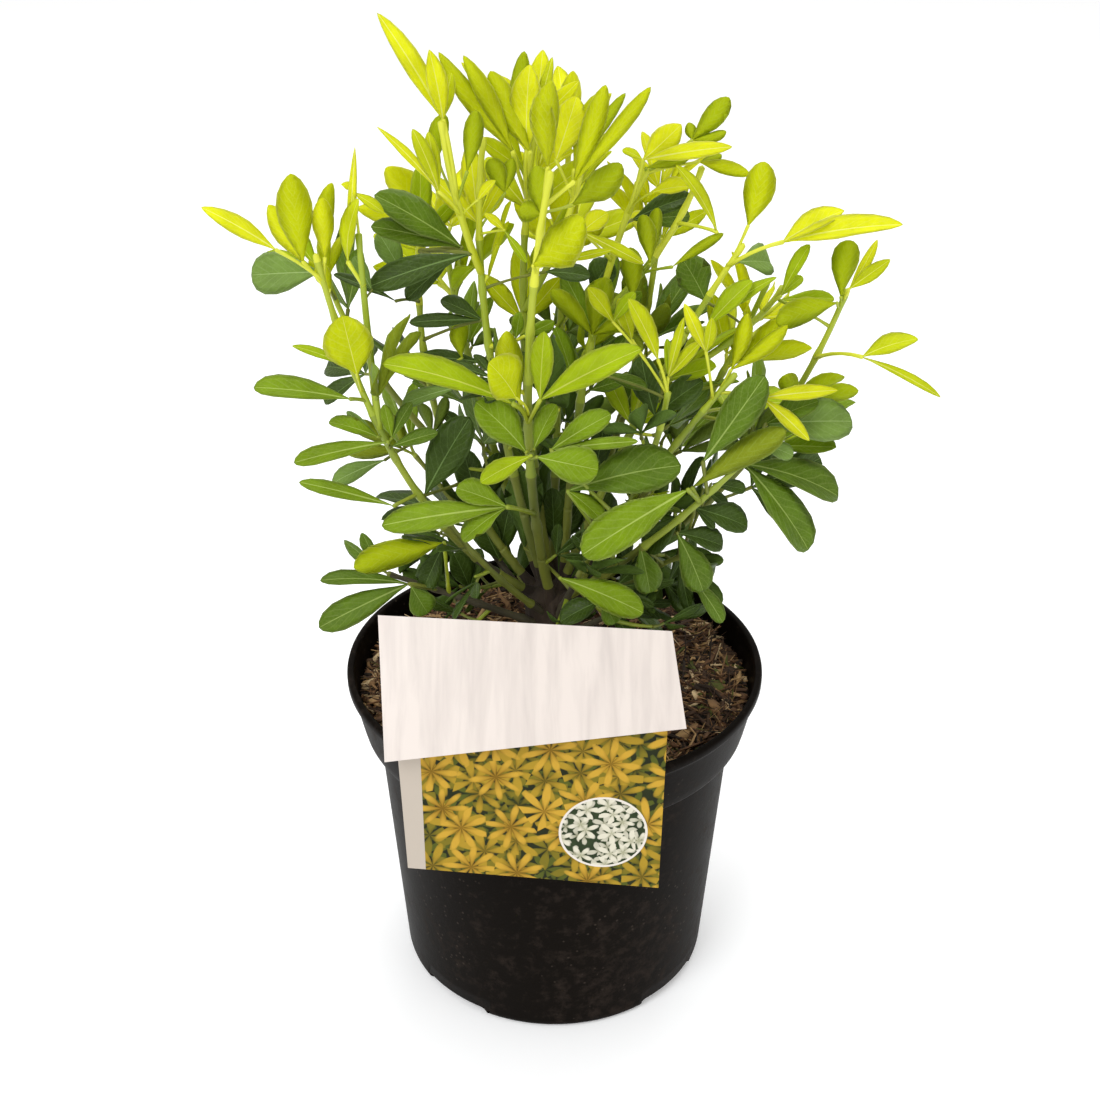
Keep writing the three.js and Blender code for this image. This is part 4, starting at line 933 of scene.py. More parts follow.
# The leaf's shape
blade = dict(
    rings=[0.04, 0.14, 0.28, 0.44, 0.6, 0.76, 0.89, 0.97],
    places=[0, 0.08, 0.2, 0.35, 0.5, 0.65, 0.78, 0.88, 0.95, 1],
    roundEdge=[0.05, 0.13, 0.34, 0.67, 0.92, 1, 0.94, 0.75, 0.48, 0.15],
    longEdge=[0.05, 0.2, 0.48, 0.84, 1, 0.93, 0.73, 0.49, 0.25, 0.05],
    across=[1, 0.52, 0.3], rib=0.008, ribBase=1.15, ribTaper=0.8, thick=0.014, thickBase=1.2, thickLeast=0.25,
    fold=0.3, foldBy=[0.5, 1.5], wave=0.14, waveBy=[0.2, 1.4], waves=[0.7, 1.7], waveShift=1.6, dome=0.05,
    twist=14, sprayTwist=0.3, cup=20, cupBy=[0.2, 1.3], pitch=9, bend=2.1, bendBy=[0.7, 1.25], least=0.05,
    long=0.92, longByTone=0.32, longSpread=0.12, seed=31,
)


def gathered(chosen, key, vector=True):
    # A value of every leaflet of the chosen leaves, whether a leaf holds one value or one a leaflet
    shapes = [leaf["forward"].shape if vector else leaf["forward"].shape[:1] for leaf in chosen]
    return np.concatenate([np.broadcast_to(leaf.get(key, 1.0), size) for leaf, size in zip(chosen, shapes)])


def bladeBodies(chosen, shape, dice):
    # Leaflets as closed bodies. At share s the midline bends down by an arc of angle k s, and across it, at
    # side offset c of half width w(s), the blade lifts by (fold + wave sin(2 pi n s + phase)) |c|, with a low
    # dome on each half. A ring has six points over the top, with the midrib between the middle two, and one
    # under it.
    forward, side = gathered(chosen, "forward"), gathered(chosen, "side")
    joint, up = gathered(chosen, "joint"), gathered(chosen, "up")
    length, half, droop = (gathered(chosen, key, False) for key in ("length", "half", "droop"))
    wild = gathered(chosen, "wild", False)
    count = len(joint)
    which = np.concatenate([np.array([0, 1, -1])[:len(leaf["forward"])] for leaf in chosen])
    cup = np.radians(shape["cup"]) * which * dice.uniform(*shape["cupBy"], count) * wild
    side, up = turnAbout(side, forward, -cup), turnAbout(up, forward, -cup)
    pitch = np.radians(shape["pitch"]) * dice.uniform(-1, 1, count) * wild
    forward, up = turnAbout(forward, side, pitch), turnAbout(up, side, pitch)
    long = shape["long"] - shape["longByTone"] * gathered(chosen, "tone", False)
    long = np.clip(long + dice.normal(0, shape["longSpread"], count), 0, 1)[:, None]
    s = np.array(shape["rings"])
    edge = ((1 - long) * np.interp(s, shape["places"], shape["roundEdge"])
            + long * np.interp(s, shape["places"], shape["longEdge"]))
    width = edge * (half * length)[:, None]
    bend = shape["bend"] * droop * dice.uniform(*shape["bendBy"], count) + shape["least"]
    lead = np.where(wild < 1, bend / 2, 0) # a spray's chord keeps its measured way
    forward, up = turnAbout(forward, side, -lead), turnAbout(up, side, -lead)
    angle = bend[:, None] * s
    centre = (joint[:, None] + (length / bend)[:, None, None] *
              (np.sin(angle)[..., None] * forward[:, None] - (1 - np.cos(angle))[..., None] * up[:, None]))
    lifted = np.cos(angle)[..., None] * up[:, None] + np.sin(angle)[..., None] * forward[:, None]
    loose = shape["sprayTwist"] + (1 - shape["sprayTwist"]) * wild
    twist = (np.radians(shape["twist"]) * dice.normal(0, 1, count) * loose)[:, None] * s
    out = np.cos(twist)[..., None] * side[:, None] + np.sin(twist)[..., None] * lifted
    lifted = np.cos(twist)[..., None] * lifted - np.sin(twist)[..., None] * side[:, None]
    outer, inner, widest = (part * width for part in shape["across"])
    rib = np.minimum(widest, length[:, None] * shape["rib"] * (shape["ribBase"] - shape["ribTaper"] * s))
    offsets = np.stack([outer, inner, rib, -rib, -inner, -outer, 0 * width], -1)
    share = offsets / width[..., None]
    fold = shape["fold"] * dice.uniform(*shape["foldBy"], count)[:, None, None]
    waves = dice.uniform(*shape["waves"], count)[:, None] * s + dice.uniform(0, 1, count)[:, None]
    wave = shape["wave"] * dice.uniform(*shape["waveBy"], count)[:, None, None]
    wave = wave * np.sin(2 * math.pi * waves[..., None] + shape["waveShift"] * np.sign(share))
    dome = shape["dome"] * width[..., None] * abs(share) * (1 - abs(share)) * 4
    lift = (fold + wave) * abs(offsets) + dome
    lift[..., 6] = -length[:, None] * shape["thick"] * (shape["thickBase"] - s) - shape["thickLeast"]
    points = centre[:, :, None] + out[:, :, None] * offsets[..., None] + lifted[:, :, None] * lift[..., None]
    reached = np.sin(bend)[:, None] * forward - (1 - np.cos(bend))[:, None] * up
    tip = joint + (length / bend)[:, None] * reached
    spots = np.stack(np.broadcast_arrays(share, s[:, None]), -1)
    ends = np.array([[0.0, 0.0], [0.0, 1.0]])[:, None].repeat(count, 1)
    return ringBody(points, joint - forward, tip), ringBody(spots, *ends), count


def buildFoliage(name, chosen, seed):
    # All leaves of one group of stems as one piece, with the leaf's own three materials by its tone
    points, spots, count = bladeBodies(chosen, blade, np.random.default_rng(seed))
    rings = len(blade["rings"])
    strips = np.array([0, 0, 1, 0, 0, 2, 2]) # top, top, midrib, top, top, underside, underside
    quads, triangles = ringFaces(count, rings, len(strips))
    tone = gathered(chosen, "tone", False) * 3
    slots = np.concatenate([(tone[:, None] + np.tile(strips, rings - 1)).ravel(),
                            (tone[:, None] + np.tile(strips, 2)).ravel()])
    piece = makePiece(name, points, quads, triangles, leafMaterials, slots, spots=spots)
    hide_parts(*sorted("foliage_" + stems[i]["name"] for i in {leaf["stem"] for leaf in chosen}))
    print(name, len(chosen), "leaves", len(quads) * 2 + len(triangles), "triangles")


for seed, tint in enumerate(("gold", "green", "dark")):
    chosen = [leaf for leaf in leaves if stems[leaf["stem"]]["tint"] == tint]
    buildFoliage("leaves" + tint.capitalize(), chosen, blade["seed"] + seed)


# Wood: tubes along curves, with the bark's relief worked into the rings
def tubeRings(curves, starts, ends, radii, rings, sides):
    # Rings about curves from share start to share end: centre + r (cos a, sin a) square to the way, with one
    # radius a ring
    share = np.array(starts)[:, None] + (np.array(ends) - starts)[:, None] * np.linspace(0, 1, rings)
    curves = np.array(curves)[:, :, None]
    t = share[..., None]
    centre = (1 - t) ** 2 * curves[:, 0] + 2 * t * (1 - t) * curves[:, 1] + t ** 2 * curves[:, 2]
    way = unit((1 - t) * (curves[:, 1] - curves[:, 0]) + t * (curves[:, 2] - curves[:, 1]))
    across, up = sideways(way)
    angle = ringAngles(sides)
    arm = across[:, :, None] * np.cos(angle)[:, None] + up[:, :, None] * np.sin(angle)[:, None]
    return centre[:, :, None] + arm * radii[..., None, None], centre, way


wood = dict(stemRings=84, stemSides=10, forkRings=26, seed=77, tip=0.56, thinner=0.35, forkBase=0.78,
            forkTip=0.55, swell=0.28, swellLength=2.4, rooted=-0.08, thick=dict(front_centre=1.1), jitter=14)
twigShape = dict(rings=8, sides=6, base=1.15, tip=0.7, rooted=-0.05, paler=60)
stalkShape = dict(rings=6, sides=6, radius=0.9, profile=[(0, 1.5), (0.15, 1.05), (0.6, 0.9), (1, 1.15)],
                  bow=0.07, sunk=0.5, usualLeaf=46)


def woodFinish(name, code, second, rough, relief):
    # Two colours in long streaks, with a fine grain
    look = Finish(name)
    streaks = look.noise(60, 4.0, 0.6, look.stretched((1, 1, 0.12)))
    grain = look.noise(700, 3.0, 0.6, look.stretched((1, 1, 0.3)))
    colour = look.blend(look.ramp(streaks, (0.35, 0.0), (0.65, 1.0)), hexColour(code), hexColour(second))
    sockets = {"Base Color": colour, "Roughness": rough + 0.1 * grain - 0.05,
               "Normal": look.relief(streaks + 0.5 * grain, relief, 0.6)}
    return look.finish(sockets)


woodMaterials = [woodFinish("wood_old", "#4a4630", "#36301f", 0.75, 0.0006),
                 woodFinish("wood_brownGreen", "#7d8329", "#606a22", 0.6, 0.0004),
                 woodFinish("wood_green", "#95a12a", "#7b8e22", 0.5, 0.0002),
                 woodFinish("wood_lime", "#a9b42a", "#93a624", 0.45, 0.0001),
                 woodFinish("wood_yellow", "#d2d636", "#c0c82a", 0.45, 0.0001)]
woodSteps = [208, 244, 290, 335] # heights at which a stem passes to the next colour, at one of its nodes


def stemBase(stem):
    # A stem's radius where it rises
    return stem.get("radius", foot["stemRadius"]) * wood["thick"].get(stem["name"], 1.0)


def nodeShares(shoot, first):
    # Where a shoot's pairs of leaves stand, as shares of its run
    place = np.arange(shoot["pairs"]) / (shoot["pairs"] - 1)
    return first + (habit["lastPair"] - first) * place ** habit["crowding"]


def shootRadii(shares, base, tip, nodes, length):
    # A taper from base to tip, swollen at each pair of leaves by swell e^-(distance/swellLength)^2
    away = (shares[:, None] - nodes[None]) * length
    swollen = 1 + wood["swell"] * np.exp(-(away / wood["swellLength"]) ** 2).sum(1)
    return np.interp(shares, [0, 1], [base, tip]) * swollen


def internodeSlots(centre, nodes, shares, dice):
    # Each internode keeps one colour, by the height of its lower node
    lower = np.searchsorted(nodes, (shares[:-1] + shares[1:]) / 2) - 1
    atNode = np.interp(nodes[np.clip(lower, 0, None)], shares, centre[:, 2])
    height = np.where(lower < 0, centre[0, 2], atNode)
    jitter = dice.uniform(-wood["jitter"], wood["jitter"], len(nodes) + 1)[lower + 1]
    return np.searchsorted(woodSteps, height + jitter)


def buildShoots():
    # Every stem and fork as one swollen, tapering tube, coloured an internode at a time
    dice = np.random.default_rng(wood["seed"])
    points, quads, triangles, walls, ends = [], [], [], [], []
    offset = 0
    for stem in stems:
        base = stemBase(stem)
        first = stem["share"] + habit["firstPair"] * (1 - stem["share"])
        low = base * (1 - wood["thinner"] * stem["share"])
        runs = [(stem["curve"], stem["share"] or wood["rooted"], low, base * wood["tip"],
                 nodeShares(stem, first), wood["stemRings"])]
        runs += [(fork["curve"], 0, base * wood["forkBase"], base * wood["forkTip"],
                  nodeShares(fork, habit["firstForkPair"]), wood["forkRings"]) for fork in stem["forks"]]
        for curve, start, low, high, nodes, rings in runs:
            shares = np.linspace(start, 1, rings)
            length = np.linalg.norm(np.diff(pointOn(curve, shares), axis=0), axis=1).sum() / (1 - start)
            radii = shootRadii(shares, low, high, nodes, length)
            ring, centre, way = tubeRings([curve], [start], [1.0], radii[None], rings, wood["stemSides"])
            points.append(ringBody(ring, centre[:, 0] - way[:, 0], centre[:, -1] + way[:, -1]))
            around, caps = ringFaces(1, rings, wood["stemSides"])
            quads.append(around + offset)
            triangles.append(caps + offset)
            rows = internodeSlots(centre[0], nodes, shares, dice)
            walls.append(np.repeat(rows, wood["stemSides"]))
            ends.append(np.repeat(rows[[0, -1]], wood["stemSides"]))
            offset += len(points[-1])
    piece = makePiece("shoots", np.concatenate(points), np.concatenate(quads), np.concatenate(triangles),
                      woodMaterials, np.concatenate(walls + ends))


def buildTubes(name, curves, start, radii, tone, sides):
    # Many closed tubes as one piece, each in one of the wood's colours
    count, rings = radii.shape
    ring, centre, way = tubeRings(curves, np.full(count, start), np.ones(count), radii, rings, sides)
    points = ringBody(ring, centre[:, 0], centre[:, -1] + way[:, -1])
    quads, triangles = ringFaces(count, rings, sides)
    slots = np.concatenate([np.repeat(tone, (rings - 1) * sides), np.repeat(tone, 2 * sides)])
    makePiece(name, points, quads, triangles, woodMaterials, slots)


def buildTwigs():
    # A twig's radius falls evenly to its tip, and its colour is that of a stem some way above its root
    height = np.array([curve[0][2] for curve in twigs])
    radii = np.linspace(twigShape["base"], twigShape["tip"], twigShape["rings"])[None].repeat(len(twigs), 0)
    tone = np.searchsorted(woodSteps, height + twigShape["paler"])
    buildTubes("twigs", twigs, twigShape["rooted"], radii, tone, twigShape["sides"])


def buildStalks():
    # Every leaf's stalk bows up a little between root and joint, and widens at both. Its radius goes with the
    # square root of the leaf's size.
    curves = []
    for leaf in leaves:
        run = leaf["joint"] - leaf["root"]
        bow = np.atleast_2d(leaf["up"])[0] * stalkShape["bow"] * np.linalg.norm(run)
        root = leaf["root"] - leaf["heading"] * stalkShape["sunk"]
        curves.append(bentLine(root, leaf["root"] + run / 2 + bow, leaf["joint"]))
    size = np.array([max(leaf["length"]) for leaf in leaves])[:, None] / stalkShape["usualLeaf"]
    profile = np.interp(np.linspace(0, 1, stalkShape["rings"]), *zip(*stalkShape["profile"]))
    radii = stalkShape["radius"] * profile * size ** 0.5
    tone = np.clip(5 - np.array([np.min(leaf["tone"]) for leaf in leaves]), 1, 4)
    buildTubes("leafStalks", curves, 0.0, radii, tone, stalkShape["sides"])


buildShoots()
buildTwigs()
buildStalks()

# The woody foot: its radius at each height as a share of the source's, and the boughs that leave it
footShape = dict(rings=[(0, 1.35), (3, 1.18), (12, 0.96), (30, 0.92), (43, 1.0), (47.7, 0.96), (50.5, 0.72)],
                 rows=56, sides=90, lean=-0.02, rib=0.05, ribs=5, ridge=0.55, crown=1.5,
                 ridges=dict(seed=3, waves=24, shortest=3, longest=16))
boughShape = dict(rings=26, sides=14, sink=7, flare=0.275, flareUpTo=0.06, lump=0.05, seed=40, old=0.35,
                  lumps=dict(waves=16, shortest=2.5, longest=9))


def buildBark():
    # The foot: the radius at each height, times 1 plus a cosine of the angle for its ribs, plus fine ridges,
    # carried up a slight lean. Each bough: a tapering tube that starts inside the foot, flares by the square
    # of its nearness to it, and is lumpy.
    rise = np.linspace(0, footShape["rings"][-1][0], footShape["rows"])
    radius = foot["radius"] * np.interp(rise, *zip(*footShape["rings"]))[:, None]
    angle = ringAngles(footShape["sides"])[None]
    around = np.stack(np.broadcast_arrays(14 * np.cos(angle), 14 * np.sin(angle), 0.22 * rise[:, None]), -1)
    ridges = ripple(around.reshape(-1, 3), **footShape["ridges"]).reshape(around.shape[:2])
    ribs = 1 + footShape["rib"] * np.cos(footShape["ribs"] * angle + 1)
    reach = radius * ribs + footShape["ridge"] * ridges
    lean = footShape["lean"] * rise[:, None]
    points = np.stack([lean + reach * np.cos(angle), reach * np.sin(angle),
                       np.broadcast_to(foot["base"] + rise[:, None], reach.shape)], -1)
    top = [lean[-1, 0], 0, foot["base"] + rise[-1] + footShape["crown"]]
    bodies = [ringBody(points[None], np.array([[0, 0, foot["base"]]]), np.array([top]))]
    quads, triangles = ([part] for part in ringFaces(1, footShape["rows"], footShape["sides"]))
    slots = [np.zeros(len(quads[0]), int)]
    ends = [np.zeros(len(triangles[0]), int)]
    for number, stem in enumerate(stems):
        if not stem["share"]:
            continue
        base = stemBase(stem)
        length = np.linalg.norm(stem["mid"] - stem["curve"][0]) * 2
        shares = np.linspace(-boughShape["sink"] / length, stem["share"] + 0.002, boughShape["rings"])
        taper = np.interp(shares, [0, stem["share"]], [base, base * (1 - wood["thinner"] * stem["share"])])
        flare = 1 + boughShape["flare"] * np.clip(1 - shares / boughShape["flareUpTo"], 0, 2) ** 2
        ring, centre, _ = tubeRings([stem["curve"]], [shares[0]], [shares[-1]], (taper * flare)[None],
                                    boughShape["rings"], boughShape["sides"])
        lumps = ripple(ring.reshape(-1, 3) * [1, 1, 0.3], boughShape["seed"] + number, **boughShape["lumps"])
        swollen = 1 + boughShape["lump"] * lumps.reshape(ring.shape[:3])
        ring = centre[:, :, None] + (ring - centre[:, :, None]) * swollen[..., None]
        offset = sum(map(len, bodies))
        bodies.append(ringBody(ring, centre[:, 0], centre[:, -1]))
        walls, caps = ringFaces(1, boughShape["rings"], boughShape["sides"])
        quads.append(walls + offset)
        triangles.append(caps + offset)
        middle = (shares[:-1] + shares[1:]) / 2
        tone = np.where(middle < boughShape["old"] * stem["share"], 0, 1)
        slots.append(np.repeat(tone, boughShape["sides"]))
        ends.append(np.repeat([0, 1], boughShape["sides"]))
    bark = woodFinish("bark", "#3c3024", "#241c15", 0.85, 0.0012)
    piece = makePiece("barkAndBoughs", np.concatenate(bodies), np.concatenate(quads),
                      np.concatenate(triangles), [bark, woodMaterials[1]], np.concatenate(slots + ends))
    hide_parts("foot", *["bough_" + stem["name"] for stem in stems if stem["share"]])


buildBark()
print("wood built")


# The pot, a turned shell with a lip, a collar and a tapering wall, and notches round its foot
pot = dict(height=160, rim=95, wall=1.6, lip=4.5, proud=1.6, collarZ=131, collar=88.3, wallTop=82.2,
           base=73.4, round=4.4, roundTop=4, innerRound=2.8, floor=2.2, hole=18, around=240, notches=4,
           notchWidth=40, notchHeight=5, notchIn=54.8, notchTurn=4, notchRound=4, notchLean=0.07)


def potRows():
    # The outside from the floor's middle up to the rim, then the inside down again. The first rows of both
    # sides match one another, because a notch takes the faces between them away.
    corner = pot["roundTop"]
    inner = pot["base"] - pot["wall"]
    innerRise = corner - pot["floor"]
    slope = (pot["wallTop"] - pot["base"]) / (pot["collarZ"] - 1 - corner)
    outFoot, inFoot = [(pot["notchIn"], 0)], [(pot["notchIn"], pot["floor"])]
    for a in np.linspace(0, math.pi / 2, 6):
        outFoot.append((pot["base"] - pot["round"] * (1 - math.sin(a)), corner - corner * math.cos(a)))
        inFoot.append((inner - pot["innerRound"] * (1 - math.sin(a)), corner - innerRise * math.cos(a)))
    outFoot.append((pot["base"] + slope, pot["notchHeight"]))
    inFoot.append((inner + slope, pot["notchHeight"]))
    lipFoot = pot["height"] - pot["lip"]
    edge = pot["rim"] - pot["proud"]
    wall = [(pot["base"] + slope * (z - corner), z) for z in np.linspace(12, 127, 18)]
    wall += [(pot["wallTop"], 129.4), (pot["wallTop"] + 0.8, 130.4), (pot["collar"] - 1.6, 130.7),
             (pot["collar"] - 0.4, 131.2), (pot["collar"] + 0.1, 132.2)]
    collar = [pot["collar"], edge]
    wall += [(np.interp(z, [pot["collarZ"], lipFoot], collar), z) for z in (136, 142, 148, 153)]
    wall += [(edge, lipFoot - 0.3), (edge + 0.5, lipFoot + 0.1), (pot["rim"] - 0.3, lipFoot + 0.4),
             (pot["rim"], lipFoot + 0.9), (pot["rim"], 158.6), (pot["rim"] - 0.3, 159.6),
             (pot["rim"] - 1, pot["height"]), (edge - pot["wall"] + 0.6, pot["height"]),
             (edge - pot["wall"], 159.4), (edge - pot["wall"], lipFoot)]
    low = 132.6
    wall += [(np.interp(z, [low, lipFoot], collar) - pot["wall"], z) for z in (148, 140, low)]
    wall += [(pot["wallTop"] - pot["wall"], pot["collarZ"]), (pot["wallTop"] - pot["wall"], 126)]
    wall += [(inner + slope * (z - corner), z) for z in (90, 50, 14)]
    rows = [(pot["hole"], 0)] + outFoot + wall + inFoot[::-1] + [(pot["hole"], pot["floor"])]
    last = len(rows) - 2
    return np.array(rows, float), np.arange(1, 1 + len(outFoot)), np.arange(last, last - len(inFoot), -1)


def potFinish():
    # Black plastic with dust, grit and worn streaks
    look = Finish("potPlastic")
    patches = look.noise(9, 4.0, 0.6)
    dust = look.noise(160, 6.0, 0.7)
    specks = look.ramp(dust * 0.75 + patches * 0.35, (0.56, 0.0), (0.72, 0.55))
    dots = look.cells(260)
    grit = (dots < 0.16) * look.ramp(look.noise(30, 2.0), (0.52, 0.0), (0.6, 0.5))
    streaks = look.noise(16, 5.0, 0.7, look.stretched((6, 6, 0.6)))
    worn = look.ramp(streaks, (0.6, 0.0), (0.75, 0.35))
    colour = look.blend(patches, hexColour("#0a0705"), hexColour("#120d08"))
    colour = look.blend(specks, colour, hexColour("#332b26"))
    colour = look.blend(worn, colour, hexColour("#241d1a"))
    colour = look.blend(grit, colour, hexColour("#3f3731"))
    relief = look.relief(dust + 0.4 * look.noise(900, 2.0), 0.0003, 0.35)
    return look.finish({"Base Color": colour, "Roughness": 0.34 + 0.22 * patches + 0.25 * specks,
                        "Specular IOR Level": 0.03, "Normal": relief})


def buildPot():
    # The profile turned about Z. Low arches are cut through its foot: there the faces of the floor's edge and
    # the wall's foot are left out, and strips close the cut.
    rows, outside, inside = potRows()
    around = pot["around"]
    angle = ringAngles(around)
    reach = rows[:, 0, None] * np.ones(around)
    height = rows[:, 1, None] * np.ones(around)
    middle = (np.arange(pot["notches"]) + 0.5) * 2 * math.pi / pot["notches"] + math.radians(pot["notchTurn"])
    off = (angle[:, None] - middle + math.pi) % (2 * math.pi) - math.pi
    off = pot["base"] * abs(off).min(1)
    cut = off < pot["notchWidth"] / 2
    shoulder = np.clip((off - pot["notchWidth"] / 2 + pot["notchRound"]) / pot["notchRound"], 0, 1)
    arch = pot["notchHeight"] - pot["notchRound"] * (1 - np.sqrt(1 - shoulder ** 2))
    for row in (outside, inside):
        height[row[-1]] = np.where(cut, arch, pot["notchHeight"])
        reach[row[-1]] -= np.where(cut, (pot["notchHeight"] - arch) * pot["notchLean"], 0)
    points = np.stack([reach * np.cos(angle), reach * np.sin(angle), height], -1)
    points = ringBody(points[None], np.array([[0, 0, 0]]), np.array([[0, 0, pot["floor"]]]))
    count = len(rows)
    quads, triangles = ringFaces(1, count, around)
    quads = quads.reshape(count - 1, around, 4)
    keep = np.ones((count - 1, around), bool)
    gone = cut & np.roll(cut, -1)
    keep[outside[:-1]] &= ~gone
    keep[inside[1:]] &= ~gone
    places = 1 + np.arange(count)[:, None] * around + np.arange(around)
    column = np.flatnonzero(gone)
    following = (column + 1) % around
    floorEdge = np.stack([places[outside[0], column], places[outside[0], following],
                          places[inside[0], following], places[inside[0], column]], -1)
    archEdge = np.stack([places[outside[-1], following], places[outside[-1], column],
                         places[inside[-1], column], places[inside[-1], following]], -1)
    starts = column[~gone[column - 1]]
    ends = (column[~gone[following]] + 1) % around

    def side(columns):
        # The strips that close a cut where it begins or ends
        outer, inner = places[outside][:, columns], places[inside][:, columns]
        return np.stack([outer[:-1], outer[1:], inner[1:], inner[:-1]], -1).reshape(-1, 4)
    faces = np.concatenate([quads[keep], floorEdge, archEdge, side(starts)[:, ::-1], side(ends)])
    piece = makePiece("potShell", points, faces, triangles, [potFinish()])
    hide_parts("pot")


buildPot()

# The compost: a body that fills the pot, and loose shreds of coir and bark over it
compost = dict(radius=90.6, around=220, rings=70, dome=[(0, 148), (46, 148), (72, 147.5), (90.6, 145.2)],
               lump=0.825, lumps=dict(seed=8, waves=40, shortest=7, longest=40), crumb=0.35,
               crumbs=dict(seed=9, waves=50, shortest=2.2, longest=7), calm=6, floor=2.5, gap=0.3)
shredShape = dict(seed=3, nearest=12, farthest=89, inFromEdge=0.45, sides=5, run=[-0.46, 0, 0.46],
                  girth=[0.7, 1.0, 0.55], uneven=[0.7, 1.3], wide=[0.4, 3.2], spin=0.5, bow=0.12,
                  manyShort=2.2, manyLow=3)
loose = dict(
    compostShreds=dict(count=5200, length=[3, 22], thick=[0.35, 1.35], flat=0.7, tilt=0.22, lift=1.6),
    compostFibres=dict(count=3600, length=[6, 26], thick=[0.2, 0.6], flat=0.3, tilt=0.3, lift=2.6),
    compostChips=dict(count=1100, length=[3, 11], thick=[0.5, 1.6], flat=2.2, tilt=0.25, lift=1.6),
)
compostColours = {"#2a1c10": 0.17, "#46301e": 0.18, "#68492e": 0.16, "#8e6b46": 0.13, "#b99566": 0.1,
                  "#dcc094": 0.05, "#59402c": 0.09, "#825c3a": 0.07, "#565a20": 0.05}


def compostTop(reach, angle):
    # Height of the soil at a distance and an angle: level to near the wall, falling to the edge, with lumps
    flat = np.stack([reach * np.cos(angle), reach * np.sin(angle), 0 * reach], -1)
    lumps = ripple(flat.reshape(-1, 3), **compost["lumps"]).reshape(reach.shape)
    crumbs = ripple(flat.reshape(-1, 3), **compost["crumbs"]).reshape(reach.shape)
    dome = np.interp(reach, *zip(*compost["dome"]))
    calm = np.clip((compost["radius"] - reach) / compost["calm"], 0, 1)
    return dome + (compost["lump"] * lumps + compost["crumb"] * crumbs) * calm


def compostFinish():
    # Near-black ground with brown and straw-coloured crumbs
    look = Finish("compostGround")
    crumbs = look.cells(300, output="Color")
    mix = look.noise(150, 6.0, 0.7)
    colour = look.blend(look.ramp(mix, (0.35, 0.0), (0.65, 1.0)), hexColour("#0f0a06"), hexColour("#2e2013"))
    straw = look.ramp(look.noise(420, 3.0), (0.64, 0.0), (0.74, 0.6))
    colour = look.blend(straw, colour, hexColour("#7a5c3c"))
    relief = look.relief(mix + look.noise(600, 3.0), 0.002, 0.8)
    return look.finish({"Base Color": look.blend(0.25, colour, crumbs, "OVERLAY"), "Roughness": 0.9,
                        "Normal": relief})


def buildCompost():
    # The body follows the inside of the pot up to its edge, and the top is worked out from the edge inwards
    around = compost["around"]
    angle = ringAngles(around)[None]
    inset = pot["wall"] + compost["gap"]
    floor = compost["floor"]
    sides = np.array([(20, floor), (pot["base"] - 5, floor), (pot["base"] - inset, floor + 3),
                      (pot["wallTop"] - inset, pot["collarZ"] + compost["gap"]),
                      (pot["collar"] - inset, 132.9), (compost["radius"] - 0.9, 144)], float)
    top = np.linspace(compost["radius"] - 0.3, 1.5, compost["rings"])[:, None] * np.ones((1, around))
    reach = np.concatenate([sides[:, :1] * np.ones((1, around)), top])
    height = np.concatenate([sides[:, 1:] * np.ones((1, around)), compostTop(top, angle * np.ones_like(top))])
    points = np.stack([reach * np.cos(angle), reach * np.sin(angle), height], -1)
    bodyPoints = ringBody(points[None], np.array([[0, 0, floor]]), np.array([[0, 0, compost["dome"][0][1]]]))
    quads, triangles = ringFaces(1, len(reach), around)
    piece = makePiece("compost", bodyPoints, quads, triangles, [compostFinish()])
    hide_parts("soil")


def buildShreds(name, seed, count, length, thick, flat, tilt, lift):
    # Shreds: five-sided tubes of three rings along an arc, each lying on the compost at its own turn and tilt
    dice = np.random.default_rng(seed)
    reach = np.sqrt(dice.uniform(shredShape["nearest"] ** 2, shredShape["farthest"] ** 2, count))
    turn = dice.uniform(0, 2 * math.pi, count)
    length = length[0] + (length[1] - length[0]) * dice.uniform(0, 1, count) ** shredShape["manyShort"]
    thick = dice.uniform(*thick, count)
    wide = thick * (1 + flat * dice.uniform(*shredShape["wide"], count))
    lie = dice.uniform(0, 2 * math.pi, count)
    tilt = dice.normal(0, tilt, count)
    reach = np.minimum(reach, shredShape["farthest"] + 0.5 - shredShape["inFromEdge"] * length)
    middle = np.stack([reach * np.cos(turn), reach * np.sin(turn), compostTop(reach, turn) + 0.5 * thick], -1)
    loosened = lift * dice.uniform(0, 1, count) ** shredShape["manyLow"]
    middle[:, 2] += loosened + 0.2 * length * abs(np.sin(tilt))
    forward = np.stack([np.cos(lie) * np.cos(tilt), np.sin(lie) * np.cos(tilt), np.sin(tilt)], -1)
    side = unit(np.cross([0, 0, 1], forward))
    up = np.cross(forward, side)
    spin = dice.normal(0, shredShape["spin"], count)
    side, up = turnAbout(side, forward, spin), turnAbout(up, forward, spin)
    bow = dice.normal(0, shredShape["bow"], count) * length
    run = np.array(shredShape["run"])
    centre = (middle[:, None] + forward[:, None] * (run * length[:, None])[..., None]
              + side[:, None] * ((0.25 - run ** 2) * 4 * bow[:, None])[..., None])
    sides = shredShape["sides"]
    angle = ringAngles(sides)
    shape = np.array(shredShape["girth"])[:, None] * dice.uniform(*shredShape["uneven"], (count, 3, 1))
    arm = (side[:, None, None] * (np.cos(angle) * 0.5 * shape * wide[:, None, None])[..., None]
           + up[:, None, None] * (np.sin(angle) * 0.5 * shape * thick[:, None, None])[..., None])
    points = centre[:, :, None] + arm
    ends = length[:, None] * 0.5 * forward
    bodies = ringBody(points, middle - ends, middle + ends)
    quads, triangles = ringFaces(count, len(run), sides)
    tone = dice.choice(len(compostColours), count, p=list(compostColours.values()))
    slots = np.tile(np.repeat(tone, 2 * sides), 2)
    makePiece(name, bodies, quads, triangles, shredMaterials, slots)


